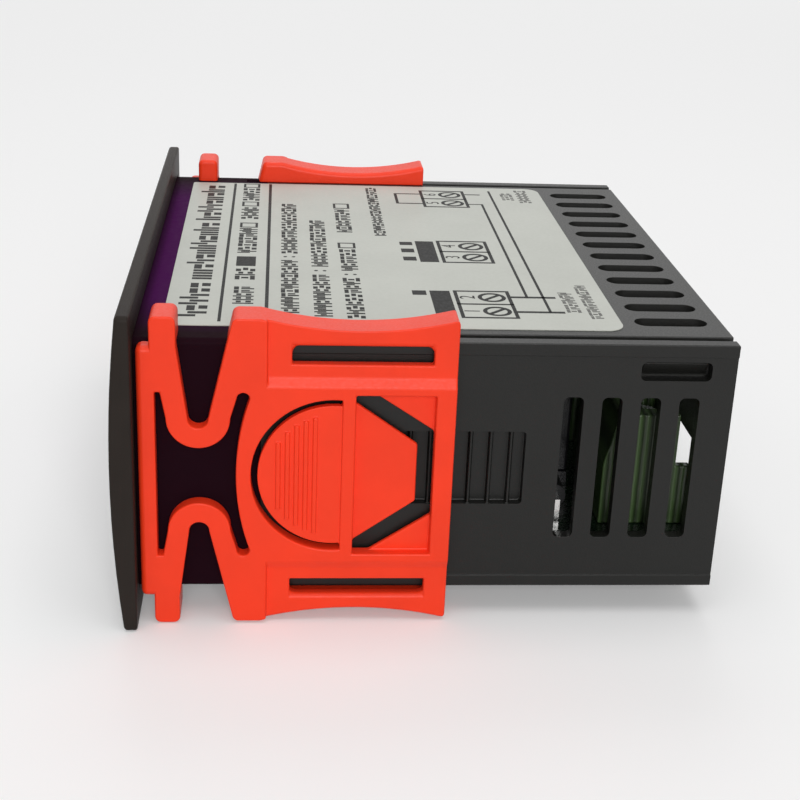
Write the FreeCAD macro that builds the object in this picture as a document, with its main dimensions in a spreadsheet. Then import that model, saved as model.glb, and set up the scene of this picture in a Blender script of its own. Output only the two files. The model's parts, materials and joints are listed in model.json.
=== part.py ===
import FreeCAD, Part
import math
import os
import Sketcher

# Panel-mount digital temperature controller, in millimetres.
# The origin is the centre of the panel seat, on the back of the bezel. X runs across the front,
# Y runs back through the panel, Z is up. The front faces -Y.

# Driving dimensions, each written once
SIZES = {
    # Housing behind the panel
    "housing_width": 70.0,
    "housing_height": 28.6,
    "housing_depth": 63.2,
    "housing_wall": 1.6,
    "floor_thickness": 2.0,
    "corner_round": 0.3,
    "fit_gap": 0.1,
    "side_relief_depth": 0.15,
    "side_relief_margin": 1.4,
    "rear_wall": 1.6,
    "rear_sill": 4.5,
    # Grooves that guide the clips, on top and underneath
    "groove_inset": 1.6,
    "groove_width": 1.1,
    "groove_depth": 0.8,
    # Side vents, counted back from the front edge of the first
    "vent_first": 18.3,
    "vent_pitch": 4.16,
    "vent_width": 2.15,
    "vent_height": 16.5,
    "vent_round": 0.6,
    "vent_count": 4,
    # Snap windows for the cover, measured from the rear and from the top
    "window_rear": 2.7,
    "window_length": 7.6,
    "window_height": 2.1,
    "window_drop": 2.0,
    "window_round": 0.6,
    # Ratchet in each side
    "ratchet_length": 13.1,
    "ratchet_height": 8.5,
    "ratchet_depth": 1.15,
    "tooth_pitch": 2.16,
    "tooth_height": 0.85,
    "tooth_count": 6,
    "tooth_width": 0.3,
    "tooth_draft": 0.15,
    "tooth_foot": 0.3,
    "ratchet_round": 0.4,
    # Top cover
    "cover_thickness": 2.0,
    "cover_lip": 12.2,
    "cover_rail": 0.8,
    "cover_rail_height": 1.2,
    "top_vent_length": 8.05,
    "top_vent_width": 2.6,
    "top_vent_pitch": 5.03,
    "top_vent_rear": 1.75,
    "top_vent_count": 12,
    "snap_tab_thickness": 1.2,
    "snap_clearance": 0.3,
    "snap_reach": 0.8,
    "snap_tab_margin": 0.8,
    # Label on the top
    "label_front": 2.55,
    "label_length": 49.3,
    "label_margin": 4.1,
    "label_thickness": 0.12,
    "label_round": 2.0,
    "label_front_round": 0.4,
    # Bezel
    "bezel_overlap_x": 3.7,
    "bezel_overlap_z": 3.5,
    "bezel_edge": 1.4,
    "bezel_crown": 1.05,
    "bezel_corner": 0.6,
    "bezel_edge_round": 0.4,
    "bezel_recess": 0.3,
    # Front shell
    "collar_depth": 13.0,
    "shell_wall": 1.6,
    "front_wall": 1.6,
    "collar_round": 0.7,
    "tongue_length": 2.5,
    "tongue_wall": 1.2,
    "board_ledge": 1.4,
    "board_ledge_height": 14.0,
    "display_window_left": 3.0,
    "display_window_width": 38.0,
    "display_window_height": 18.0,
    "display_window_sink": 0.5,
    "display_window_round": 1.0,
    # Clips
    "clip_gap": 0.15,
    "clip_slack": 0.4,
    "clip_front": 0.35,
    "clip_length": 32.95,
    "clip_web": 1.75,
    "bar_width": 1.85,
    "hook_front": 1.75,
    "hook_width": 2.7,
    "hook_reach": 2.9,
    "hook_drop": 0.3,
    "hook_end_round": 0.5,
    "wing_front": 10.2,
    "wing_reach": 2.9,
    "wing_drop": 0.45,
    "wing_sag": 1.3,
    "wing_flat": 2.8,
    "lip_clearance": 0.15,
    "panel_recess": 0.5,
    "panel_front": 13.7,
    "panel_edge": 11.0,
    "panel_slope": 1.0,
    "wing_slot_front": 16.2,
    "wing_slot_rear": 2.5,
    "wing_slot_edge": 12.4,
    "spring_centre": 6.6,
    "spring_floor": 3.15,
    "spring_radius": 3.3,
    "spring_band": 2.25,
    "spring_slot_top": 9.35,
    "spring_slot_left": 0.55,
    "spring_slot_right": 1.35,
    "spring_waist": 10.46,
    "spring_waist_sag": 1.45,
    "pad_centre": 20.65,
    "pad_radius": 8.3,
    "pad_slot": 0.7,
    "pad_slot_end": 0.85,
    "pad_sink": 0.25,
    "pad_thickness": 0.9,
    "pad_rib_first": 14.85,
    "pad_rib_pitch": 0.96,
    "pad_rib_width": 0.45,
    "pad_rib_margin": 1.0,
    "pad_rib_count": 5,
    "torsion_bar": 1.2,
    "rear_bar": 2.1,
    "pawl_pocket_height": 18.3,
    "pawl_floor": 0.6,
    "pawl_root": 16.0,
    "pawl_tip": 6.6,
    "pawl_tip_gap": 1.7,
    "gusset_start": 1.8,
    "gusset_rise": 4.3,
    "nose_width": 0.5,
    "nose_depth": 0.3,
    "nose_gap": 0.05,
    "nose_inset": 0.88,
    "clip_corner": 0.7,
    "far_clip_stretch": 0.75,
    # Buttons and switches
    "button_width": 8.0,
    "button_height": 5.0,
    "button_inset": 7.2,
    "button_pitch_x": 10.5,
    "button_pitch_z": 11.0,
    "button_gap": 0.3,
    "button_proud": 0.6,
    "button_edge_round": 0.4,
    "button_travel": 0.5,
    "button_flange": 0.7,
    "button_flange_thickness": 0.8,
    "stem_radius": 1.5,
    "switch_size": 6.0,
    "switch_depth": 3.5,
    "plunger_radius": 1.6,
    "plunger_proud": 1.4,
    "plunger_sink": 1.0,
    # Display board and what it carries
    "board_thickness": 1.6,
    "board_gap": 0.3,
    "display_offset": 6.5,
    "display_width": 30.1,
    "display_height": 14.0,
    "display_depth": 7.2,
    "lamp_radius": 1.5,
    "lamp_flange_radius": 1.9,
    "lamp_flange": 1.0,
    "lamp_length": 5.3,
    "lamp_pitch": 5.0,
    "lamp_inset": 3.0,
    "chip_width": 10.3,
    "chip_height": 7.5,
    "chip_thickness": 1.6,
    "chip_x": 16.0,
    # Main board and what it carries
    "standoff_height": 2.2,
    "standoff_size": 3.6,
    "standoff_inset": 4.5,
    "main_board_margin": 0.6,
    "main_board_front": 1.2,
    "main_board_rear": 1.0,
    "header_length": 20.3,
    "header_size": 2.5,
    "header_front": 1.5,
    "pin_size": 0.64,
    "pin_pitch": 2.54,
    "pin_count": 8,
    "core_width": 28.0,
    "core_height": 16.4,
    "core_stack": 9.5,
    "core_leg": 4.6,
    "core_front": 7.5,
    "core_side": 3.0,
    "winding_build": 3.6,
    "bobbin_wall": 0.8,
    "relay_length": 19.0,
    "relay_width": 15.4,
    "relay_height": 15.2,
    "relay_base_height": 1.4,
    "relay_x": 12.5,
    "relay_front": 15.8,
    "filter_radius": 5.0,
    "filter_height": 15.0,
    "filter_x": 9.0,
    "filter_front": 10.0,
    "output_radius": 3.2,
    "output_height": 11.0,
    "output_x": 19.5,
    "output_front": 6.5,
    "can_crimp": 0.5,
    "diode_radius": 1.35,
    "diode_length": 5.0,
    "diode_pitch": 3.6,
    "diode_front": 20.7,
    "diode_side": 3.0,
    "diode_count": 4,
    "lead_size": 0.8,
    "lead_rise": 1.5,
    "regulator_radius": 2.3,
    "regulator_flat": 1.2,
    "regulator_height": 4.6,
    "regulator_x": 27.0,
    "regulator_front": 5.0,
    "varistor_radius": 4.5,
    "varistor_thickness": 3.5,
    "varistor_x": -20.0,
    "varistor_front": 30.0,
    "buzzer_radius": 4.75,
    "buzzer_height": 7.5,
    "buzzer_port": 1.0,
    "buzzer_x": 27.0,
    "buzzer_front": 14.0,
    # Screw terminals
    "terminal_pitch": 7.62,
    "terminal_end": 1.7,
    "terminal_side": 1.8,
    "terminal_rear": 2.6,
    "terminal_foot": 9.9,
    "terminal_nose": 1.7,
    "terminal_shoulder": 7.1,
    "terminal_height": 13.2,
    "terminal_lean": 1.35,
    "terminal_fin": 1.2,
    "entry_width": 5.0,
    "entry_height": 4.7,
    "entry_floor": 1.2,
    "entry_depth": 8.0,
    "clamp_wall": 0.6,
    "clamp_depth": 3.0,
    "screw_radius": 1.9,
    "screw_sink": 1.2,
    "screw_head": 1.8,
    "screw_shank_radius": 1.4,
    "screw_slot": 0.7,
    "screw_clearance": 0.2,
}

doc = FreeCAD.newDocument("temperature_controller")
sheet = doc.addObject("Spreadsheet::Sheet", "dims")


class Size:
    """A length together with the sheet expression that gives it."""

    def __init__(self, value, text):
        self.value = value
        self.text = text

    def __add__(self, other):
        other = as_size(other)
        return Size(self.value + other.value, f"({self.text} + {other.text})")

    def __sub__(self, other):
        other = as_size(other)
        return Size(self.value - other.value, f"({self.text} - {other.text})")

    def __mul__(self, other):
        other = as_size(other)
        return Size(self.value * other.value, f"({self.text} * {other.text})")

    def __truediv__(self, other):
        other = as_size(other)
        return Size(self.value / other.value, f"({self.text} / {other.text})")

    def __radd__(self, other):
        return as_size(other) + self

    def __rsub__(self, other):
        return as_size(other) - self

    def __rmul__(self, other):
        return as_size(other) * self

    def __neg__(self):
        return Size(-self.value, f"(-1 * {self.text})")


def as_size(number):
    """Let plain numbers stand beside sheet sizes."""
    if isinstance(number, Size):
        return number
    return Size(float(number), repr(float(number)))


def root(size):
    """Square root of a size."""
    return Size(math.sqrt(size.value), f"sqrt({size.text})")


def fill_sheet():
    """Write the driving dimensions to the sheet and return them by name."""
    sizes = {}
    for row, (alias, value) in enumerate(SIZES.items(), start=1):
        sheet.set(f"A{row}", alias)
        sheet.set(f"B{row}", str(value))
        sheet.setAlias(f"B{row}", alias)
        sizes[alias] = Size(float(value), f"dims.{alias}")
    doc.recompute()
    return sizes


class Sizes:
    """The sheet's sizes as attributes."""

    def __init__(self, sizes):
        self.__dict__.update(sizes)


d = Sizes(fill_sheet())


def bind(thing, prop, size):
    """Tie one property of a document object to the sheet."""
    thing.setExpression(prop, as_size(size).text)


# Primitives and booleans bound to the sheet

def place(thing, x, y, z, rotation=None):
    """Put a primitive at a point given by sheet sizes."""
    base = FreeCAD.Vector(as_size(x).value, as_size(y).value, as_size(z).value)
    thing.Placement = FreeCAD.Placement(base, rotation or FreeCAD.Rotation())
    for axis, size in zip("xyz", (x, y, z)):
        bind(thing, f"Placement.Base.{axis}", size)


def block(name, x, y, z):
    """Box between two corners; x, y and z are (low, high) pairs."""
    thing = doc.addObject("Part::Box", name)
    bind(thing, "Length", x[1] - x[0])
    bind(thing, "Width", y[1] - y[0])
    bind(thing, "Height", z[1] - z[0])
    place(thing, x[0], y[0], z[0])
    return thing


TURNS = {
    "X": FreeCAD.Rotation(FreeCAD.Vector(0, 1, 0), 90),
    "Y": FreeCAD.Rotation(FreeCAD.Vector(1, 0, 0), -90),
    "Z": FreeCAD.Rotation(),
}


def rod(name, axis, start, radius, length):
    """Cylinder along +X, +Y or +Z from a start point."""
    thing = doc.addObject("Part::Cylinder", name)
    bind(thing, "Radius", radius)
    bind(thing, "Height", length)
    place(thing, *start, TURNS[axis])
    return thing


def dome(name, centre, radius):
    """Sphere about a point."""
    thing = doc.addObject("Part::Sphere", name)
    bind(thing, "Radius", radius)
    place(thing, *centre)
    return thing


def cut(name, base, tools):
    """Base less every tool."""
    thing = doc.addObject("Part::Cut", name)
    thing.Base = base
    thing.Tool = tools[0] if len(tools) == 1 else group(f"{name}_tools", tools)
    return thing


def fuse(name, shapes):
    """One solid of several that meet."""
    thing = doc.addObject("Part::MultiFuse", name)
    thing.Shapes = shapes
    thing.Refine = True
    return thing


def group(name, shapes):
    """Separate solids kept together under one name."""
    thing = doc.addObject("Part::Compound", name)
    thing.Links = shapes
    return thing


# Sketched features in a body

class Arc:
    """Marks the next run of an outline as an arc; its centre lies on that side of the run."""

    def __init__(self, radius, side):
        self.radius = as_size(radius)
        self.side = side


def arc_centre(start, end, arc):
    """Centre of the arc between two points, to start the sketch near its solution."""
    chord = end - start
    half = chord.Length / 2
    rise = math.sqrt(max(arc.radius.value ** 2 - half ** 2, 0.0))
    left = FreeCAD.Vector(-chord.y, chord.x, 0).normalize()
    return (start + end) / 2 + left * (rise if arc.side == "left" else -rise)


def draw_arc(start, end, arc):
    """Arc geometry, always drawn anticlockwise, and whether that reverses the run."""
    centre = arc_centre(start, end, arc)
    first, last = (start, end) if arc.side == "left" else (end, start)
    from_angle = math.atan2(first.y - centre.y, first.x - centre.x)
    to_angle = math.atan2(last.y - centre.y, last.x - centre.x)
    if to_angle <= from_angle:
        to_angle += 2 * math.pi
    circle = Part.Circle(centre, FreeCAD.Vector(0, 0, 1), arc.radius.value)
    return Part.ArcOfCircle(circle, from_angle, to_angle), arc.side == "right"


def add_outline(sketch, outline):
    """Add one closed outline of points and Arc marks to a sketch, bound to the sheet."""
    points = []
    arcs = {}
    for item in outline:
        if isinstance(item, Arc):
            arcs[len(points) - 1] = item
        else:
            points.append((as_size(item[0]), as_size(item[1])))
    vectors = [FreeCAD.Vector(u.value, v.value, 0) for u, v in points]
    runs = []
    for index, start in enumerate(vectors):
        end = vectors[(index + 1) % len(vectors)]
        if index in arcs:
            geometry, backwards = draw_arc(start, end, arcs[index])
        else:
            geometry, backwards = Part.LineSegment(start, end), False
        number = sketch.addGeometry(geometry, False)
        runs.append((number, 2, 1) if backwards else (number, 1, 2))
    constraints = []
    bound = []
    for index, (number, head, tail) in enumerate(runs):
        following = runs[(index + 1) % len(runs)]
        constraints.append(Sketcher.Constraint("Coincident", number, tail, following[0], following[1]))
        bound.append(None)
        for kind, size in zip(("DistanceX", "DistanceY"), points[index]):
            constraints.append(Sketcher.Constraint(kind, -1, 1, number, head, size.value))
            bound.append(size)
        if index in arcs:
            constraints.append(Sketcher.Constraint("Radius", number, arcs[index].radius.value))
            bound.append(arcs[index].radius)
    for index, size in zip(sketch.addConstraint(constraints), bound):
        if size is not None:
            bind(sketch, f"Constraints[{index}]", size)


def origin_feature(body, role):
    """A plane or axis of the body's own origin."""
    return next(f for f in body.Origin.OriginFeatures if f.Role == role)


# Which way each origin plane's sketches face: XZ faces -Y
PLANES = {"X": ("YZ_Plane", 1), "Y": ("XZ_Plane", -1), "Z": ("XY_Plane", 1)}


def prism(body, name, axis, span, outlines, remove=False):
    """Pad or pocket outlines along an axis between two stations of it."""
    role, facing = PLANES[axis]
    low, high = as_size(span[0]), as_size(span[1])
    sketch = body.newObject("Sketcher::SketchObject", f"{name}_sketch")
    sketch.AttachmentSupport = (origin_feature(body, role), [""])
    sketch.MapMode = "FlatFace"
    offset = low if facing > 0 else -high
    sketch.AttachmentOffset = FreeCAD.Placement(FreeCAD.Vector(0, 0, offset.value), FreeCAD.Rotation())
    bind(sketch, "AttachmentOffset.Base.z", offset)
    for outline in outlines:
        add_outline(sketch, outline)
    doc.recompute()
    feature = body.newObject("PartDesign::Pocket" if remove else "PartDesign::Pad", name)
    feature.Profile = sketch
    feature.Reversed = remove
    bind(feature, "Length", high - low)
    doc.recompute()
    return feature


def new_body(name):
    """An empty body that becomes one node."""
    return doc.addObject("PartDesign::Body", name)


def mirror(body, name, features, role):
    """Repeat features on the other side of an origin plane."""
    copy = body.newObject("PartDesign::Mirrored", name)
    copy.Originals = features
    copy.MirrorPlane = (origin_feature(body, role), [""])
    body.Tip = copy
    doc.recompute()
    return copy


def row(body, name, feature, role, pitch, count):
    """Repeat a feature along an origin axis."""
    copy = body.newObject("PartDesign::LinearPattern", name)
    copy.Originals = [feature]
    copy.Direction = (origin_feature(body, role), [""])
    bind(copy, "Occurrences", count)
    bind(copy, "Length", pitch * (count - 1))
    body.Tip = copy
    doc.recompute()
    return copy


def round_edges(body, name, radius, wanted):
    """Fillet every edge of the body's tip whose ends satisfy a test."""
    tip = body.Tip
    names = []
    for index, edge in enumerate(tip.Shape.Edges, start=1):
        if wanted(edge):
            names.append(f"Edge{index}")
    fillet = body.newObject("PartDesign::Fillet", name)
    fillet.Base = (tip, names)
    bind(fillet, "Radius", radius)
    doc.recompute()
    return fillet


def along(edge, axis):
    """True where an edge is a straight line along one axis."""
    if edge.Curve.TypeId != "Part::GeomLine":
        return False
    direction = edge.Curve.Direction
    return abs(getattr(direction, axis)) > 0.999


def rectangle(u, v):
    """Outline of a rectangle from two (low, high) pairs."""
    return [(u[0], v[0]), (u[1], v[0]), (u[1], v[1]), (u[0], v[1])]


def rounded(u, v, radius):
    """Outline of a rectangle with round corners."""
    corner = Arc(radius, "left")
    return [
        (u[0] + radius, v[0]), (u[1] - radius, v[0]), corner,
        (u[1], v[0] + radius), (u[1], v[1] - radius), corner,
        (u[1] - radius, v[1]), (u[0] + radius, v[1]), corner,
        (u[0], v[1] - radius), (u[0], v[0] + radius), corner,
    ]


# Sizes that several pieces share, and how near a point counts as the same
ZERO = as_size(0)
NEAR = 0.01
half_width = d.housing_width / 2
half_height = d.housing_height / 2
inner_x = half_width - d.housing_wall
floor_top = -half_height + d.floor_thickness
cover_bottom = half_height - d.cover_thickness
groove_out = half_width - d.groove_inset
groove_in = groove_out - d.groove_width
cover_ledge_x = inner_x - d.fit_gap
seat_y = -d.bezel_recess
shell_inner_x = half_width - d.shell_wall
shell_inner_z = half_height - d.shell_wall
tongue_x = shell_inner_x - d.fit_gap
tongue_z = shell_inner_z - d.fit_gap
tongue_start = d.collar_depth - d.tongue_length
window_low = half_height - d.window_drop - d.window_height
window_high = half_height - d.window_drop
window_span = (d.housing_depth - d.window_rear - d.window_length, d.housing_depth - d.window_rear)
bezel_half_x = half_width + d.bezel_overlap_x
bezel_half_z = half_height + d.bezel_overlap_z
hook_top = bezel_half_z - d.hook_drop
wing_top = bezel_half_z - d.wing_drop
clip_inner = half_width + d.clip_gap
flange_low = half_height + d.clip_slack / 2
clip_outer = clip_inner + d.clip_web
clip_rear = d.clip_front + d.clip_length
pocket_front = d.pad_centre + d.pad_slot_end + d.torsion_bar + d.clip_gap
pocket_rear = clip_rear - d.rear_bar
pawl_tip_y = pocket_rear - d.pawl_tip_gap
nose_rear = pawl_tip_y - d.nose_inset
ratchet_front = nose_rear - d.nose_width - d.nose_gap
crown_radius = (bezel_half_z * bezel_half_z + d.bezel_crown * d.bezel_crown) / (2 * d.bezel_crown)
bezel_front = d.bezel_edge + d.bezel_crown
window_x = (-half_width + d.display_window_left,
            -half_width + d.display_window_left + d.display_window_width)
window_z = (-d.display_window_height / 2, d.display_window_height / 2)
shell_front = seat_y
wall_back = shell_front + d.front_wall
display_front = wall_back + d.board_gap
display_back = display_front + d.display_depth
board_back = display_back + d.board_thickness
button_columns = (half_width - d.button_inset, half_width - d.button_inset - d.button_pitch_x)
button_rows = (d.button_pitch_z / 2, -d.button_pitch_z / 2)
BUTTONS = {
    "set_button": (button_columns[1], button_rows[0]),
    "up_button": (button_columns[0], button_rows[0]),
    "power_button": (button_columns[1], button_rows[1]),
    "down_button": (button_columns[0], button_rows[1]),
}
board_bottom = floor_top + d.standoff_height
board_top = board_bottom + d.board_thickness
board_front = d.collar_depth + d.main_board_front
board_rear = d.housing_depth - d.rear_wall - d.main_board_rear
board_x = inner_x - d.main_board_margin


def button_hole(x, z, gap):
    """Outline of a button, or of the hole round it, with fully round ends."""
    high = d.button_height / 2 + gap
    wide = d.button_width / 2 + gap
    end = Arc(high, "left")
    return [
        (x - wide + high, z - high), (x + wide - high, z - high), end,
        (x + wide, z), end,
        (x + wide - high, z + high), (x - wide + high, z + high), end,
        (x - wide, z), end,
    ]


def make_bezel():
    """Front frame: a crowned plate with a locating recess behind, a window and button holes."""
    body = new_body("front_bezel")
    top = bezel_half_z
    crown = Arc(crown_radius, "left")
    section = [(ZERO, -top), (ZERO, top), (-d.bezel_edge, top), crown, (-d.bezel_edge, -top)]
    prism(body, "bezel_plate", "X", (-bezel_half_x, bezel_half_x), [section])
    round_edges(body, "bezel_corners", d.bezel_corner, lambda edge: along(edge, "y"))
    fit = d.fit_gap
    recess = rectangle((-half_width - fit, half_width + fit), (-half_height - fit, half_height + fit))
    prism(body, "bezel_locating_recess", "Y", (seat_y, 1), [recess], remove=True)
    opening = rounded((window_x[0] - fit, window_x[1] + fit), (window_z[0] - fit, window_z[1] + fit),
                      d.display_window_round)
    holes = [button_hole(x, z, d.button_gap) for x, z in BUTTONS.values()]
    prism(body, "bezel_openings", "Y", (-bezel_front - 1, 1), [opening] + holes, remove=True)
    rim = -d.bezel_edge.value + NEAR
    round_edges(body, "bezel_front_edge", d.bezel_edge_round, lambda edge: is_bezel_rim(edge, rim))
    return body


def is_bezel_rim(edge, rim):
    """True for the outer edges round the bezel's front face."""
    box = edge.BoundBox
    if box.YMax > rim or along(edge, "y"):
        return False
    reach_x = max(abs(box.XMin), abs(box.XMax))
    reach_z = max(abs(box.ZMin), abs(box.ZMax))
    outer_x = (bezel_half_x - d.bezel_corner).value - NEAR
    outer_z = (bezel_half_z - d.bezel_corner).value - NEAR
    return reach_x > outer_x and (reach_z > outer_z or box.XLength < NEAR)


def make_front_shell():
    """See-through collar with the front wall, the display window and the display board's ledges."""
    body = new_body("front_shell")
    outside = rectangle((-half_width, half_width), (-half_height, half_height))
    prism(body, "collar", "Y", (shell_front, d.collar_depth), [outside])
    round_edges(body, "collar_edges", d.collar_round, lambda edge: along(edge, "y"))
    inside = rectangle((-shell_inner_x, shell_inner_x), (-shell_inner_z, shell_inner_z))
    prism(body, "collar_hollow", "Y", (wall_back, d.collar_depth + 1), [inside], remove=True)
    pane = rounded(window_x, window_z, d.display_window_round)
    prism(body, "window_pane", "Y", (-bezel_front + d.display_window_sink, shell_front), [pane])
    holes = [button_hole(x, z, d.button_gap) for x, z in BUTTONS.values()]
    prism(body, "shell_button_holes", "Y", (shell_front - 1, wall_back + 1), holes, remove=True)
    ledge_x = (shell_inner_x - d.board_ledge, shell_inner_x)
    ledge_z = (-d.board_ledge_height / 2, d.board_ledge_height / 2)
    ledge = prism(body, "board_ledge", "Y", (display_back - d.board_ledge, display_back),
                  [rectangle(ledge_x, ledge_z)])
    mirror(body, "board_ledges", [ledge], "YZ_Plane")
    groove = prism(body, "collar_groove", "Y", (d.wing_front - d.clip_gap, d.collar_depth + 1),
                   [rectangle((groove_in, groove_out), (half_height - d.groove_depth, half_height + 1)),
                    rectangle((groove_in, groove_out), (-half_height - 1, -half_height + d.groove_depth))],
                   remove=True)
    mirror(body, "collar_grooves", [groove], "YZ_Plane")
    return body


def ratchet_teeth():
    """Outlines of the ratchet's ribs, from above, upright in front, where they hold the nose."""
    floor = half_width - d.ratchet_depth
    crest = floor + d.tooth_height
    foot = floor - d.tooth_foot
    teeth = []
    for number in range(int(d.tooth_count.value)):
        start = nose_rear + d.nose_gap + d.tooth_pitch * number
        end = start + d.tooth_width
        teeth.append([(foot, start), (crest, start), (crest, end), (foot, end + d.tooth_draft)])
    return teeth


def make_housing():
    """Tray with side vents, snap windows, ratchets, clip grooves, a rear sill and board standoffs."""
    body = new_body("housing")
    depth = (d.collar_depth, d.housing_depth)
    prism(body, "tray", "Y", depth, [rectangle((-half_width, half_width), (-half_height, half_height))])
    tongue = rectangle((-tongue_x, tongue_x), (-tongue_z, cover_bottom - d.fit_gap))
    prism(body, "tray_tongue", "Y", (tongue_start, d.collar_depth), [tongue])
    bottom = -half_height.value + NEAR
    round_edges(body, "tray_edges", d.corner_round,
                lambda edge: along(edge, "y") and edge.BoundBox.ZMax < bottom)
    room = rectangle((-inner_x, inner_x), (floor_top, half_height + 1))
    prism(body, "tray_room", "Y", (d.collar_depth, d.housing_depth - d.rear_wall), [room], remove=True)
    throat_x = tongue_x - d.tongue_wall
    throat = rectangle((-throat_x, throat_x), (-tongue_z + d.tongue_wall, half_height + 1))
    prism(body, "tongue_room", "Y", (tongue_start - 1, d.collar_depth + d.tongue_wall), [throat], remove=True)
    rear = rectangle((-inner_x, inner_x), (floor_top + d.rear_sill, half_height + 1))
    rear_y = (d.housing_depth - d.rear_wall - 1, d.housing_depth + 1)
    prism(body, "rear_opening", "Y", rear_y, [rear], remove=True)
    across = (-half_width - 1, half_width + 1)
    vent_start = d.housing_depth - d.vent_first
    vent_z = (-d.vent_height / 2, d.vent_height / 2)
    vent = rounded((vent_start, vent_start + d.vent_width), vent_z, d.vent_round)
    vent_cut = prism(body, "side_vent", "X", across, [vent], remove=True)
    row(body, "side_vents", vent_cut, "Y_Axis", d.vent_pitch, d.vent_count)
    snap = rounded(window_span, (window_low, window_high), d.window_round)
    prism(body, "snap_windows", "X", across, [snap], remove=True)
    relief_z = half_height - d.side_relief_margin
    relief = prism(body, "side_relief", "X", (half_width - d.side_relief_depth, half_width + 1),
                   [rectangle((d.collar_depth - 1, d.housing_depth + 1), (-relief_z, relief_z))], remove=True)
    notch_z = (-d.ratchet_height / 2, d.ratchet_height / 2)
    notch = prism(body, "ratchet_recess", "X", (half_width - d.ratchet_depth, half_width + 1),
                  [rounded((ratchet_front, ratchet_front + d.ratchet_length), notch_z, d.ratchet_round)],
                  remove=True)
    teeth = prism(body, "ratchet_teeth", "Z", notch_z, ratchet_teeth())
    groove = prism(body, "floor_groove", "Y", (d.collar_depth - 1, d.housing_depth + 1),
                   [rectangle((groove_in, groove_out), (-half_height - 1, -half_height + d.groove_depth))],
                   remove=True)
    rail_end = window_span[0] - d.snap_tab_margin - d.snap_clearance
    rail_y = (d.collar_depth + d.tongue_wall, rail_end)
    rail = prism(body, "cover_rail", "Y", rail_y,
                 [rectangle((inner_x - d.cover_rail, inner_x + d.fit_gap),
                            (cover_bottom - d.cover_rail_height, cover_bottom))])
    mirror(body, "far_side", [relief, notch, teeth, groove, rail], "YZ_Plane")
    post_x = board_x - d.standoff_inset
    posts = [square_post(x, y) for x in (-post_x, post_x)
             for y in (board_front + d.standoff_inset, board_rear - d.standoff_inset)]
    prism(body, "board_standoffs", "Z", (floor_top - d.floor_thickness / 2, board_bottom), posts)
    return body


def square_post(x, y):
    """Outline of a square standoff about a point."""
    half = d.standoff_size / 2
    return rectangle((x - half, x + half), (y - half, y + half))


def make_top_cover():
    """Lid with vents, edge ledges under the clip grooves, a front tongue, a rear lip and snap tabs."""
    body = new_body("top_cover")
    depth = (d.collar_depth, d.housing_depth)
    groove_floor = half_height - d.groove_depth
    prism(body, "lid", "Y", depth, [rectangle((-groove_in, groove_in), (cover_bottom, half_height))])
    ledge = rectangle((-cover_ledge_x, cover_ledge_x), (cover_bottom, groove_floor))
    prism(body, "lid_ledges", "Y", depth, [ledge])
    tongue_x_top = tongue_x - d.tongue_wall - d.fit_gap
    prism(body, "lid_tongue", "Y", (tongue_start, d.collar_depth + d.tongue_wall),
          [rectangle((-tongue_x_top, tongue_x_top), (tongue_z - d.tongue_wall, tongue_z))])
    vent_rear = d.housing_depth - d.top_vent_rear
    first = -d.top_vent_pitch * (d.top_vent_count - 1) / 2
    wide = d.top_vent_width / 2
    front = vent_rear - d.top_vent_length
    end = Arc(wide, "left")
    vent = [
        (first + wide, front + wide), (first + wide, vent_rear - wide), end, (first, vent_rear), end,
        (first - wide, vent_rear - wide), (first - wide, front + wide), end, (first, front), end,
    ]
    vent_cut = prism(body, "top_vent", "Z", (cover_bottom - 1, half_height + 1), [vent], remove=True)
    row(body, "top_vents", vent_cut, "X_Axis", d.top_vent_pitch, d.top_vent_count)
    lip_x = cover_ledge_x
    prism(body, "rear_lip", "Y", (d.housing_depth - d.rear_wall, d.housing_depth),
          [rectangle((-lip_x, lip_x), (cover_bottom - d.cover_lip, cover_bottom))])
    tab_y = (window_span[0] - d.snap_tab_margin, window_span[1] + d.snap_tab_margin)
    tab_x = (cover_ledge_x - d.snap_tab_thickness, cover_ledge_x)
    tab_z = (window_low - d.snap_tab_margin, cover_bottom)
    tab = prism(body, "snap_tab", "Y", tab_y, [rectangle(tab_x, tab_z)])
    nib_y = (window_span[0] + d.snap_clearance, window_span[1] - d.snap_clearance)
    nib_z = (window_low + d.snap_clearance, window_high - d.snap_clearance)
    nib_section = [(cover_ledge_x, nib_z[0]), (inner_x + d.snap_reach, nib_z[1]), (cover_ledge_x, nib_z[1])]
    nib = prism(body, "snap_nib", "Y", nib_y, [nib_section])
    mirror(body, "snap_far_side", [tab, nib], "YZ_Plane")
    return body


def make_label():
    """Printed sheet on the top of the collar and the cover."""
    body = new_body("rating_label")
    prism(body, "label_sheet", "Z", (half_height, half_height + d.label_thickness), [label_outline()])
    return body


def label_outline():
    """Outline of the sheet: tight corners at the front and wide ones at the rear."""
    side = half_width - d.label_margin
    front = d.label_front
    rear = d.label_front + d.label_length
    tight = d.label_front_round
    wide = d.label_round
    return [
        (-side + tight, front), (side - tight, front), Arc(tight, "left"),
        (side, front + tight), (side, rear - wide), Arc(wide, "left"),
        (side - wide, rear), (-side + wide, rear), Arc(wide, "left"),
        (-side, rear - wide), (-side, front + tight), Arc(tight, "left"),
    ]


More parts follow.
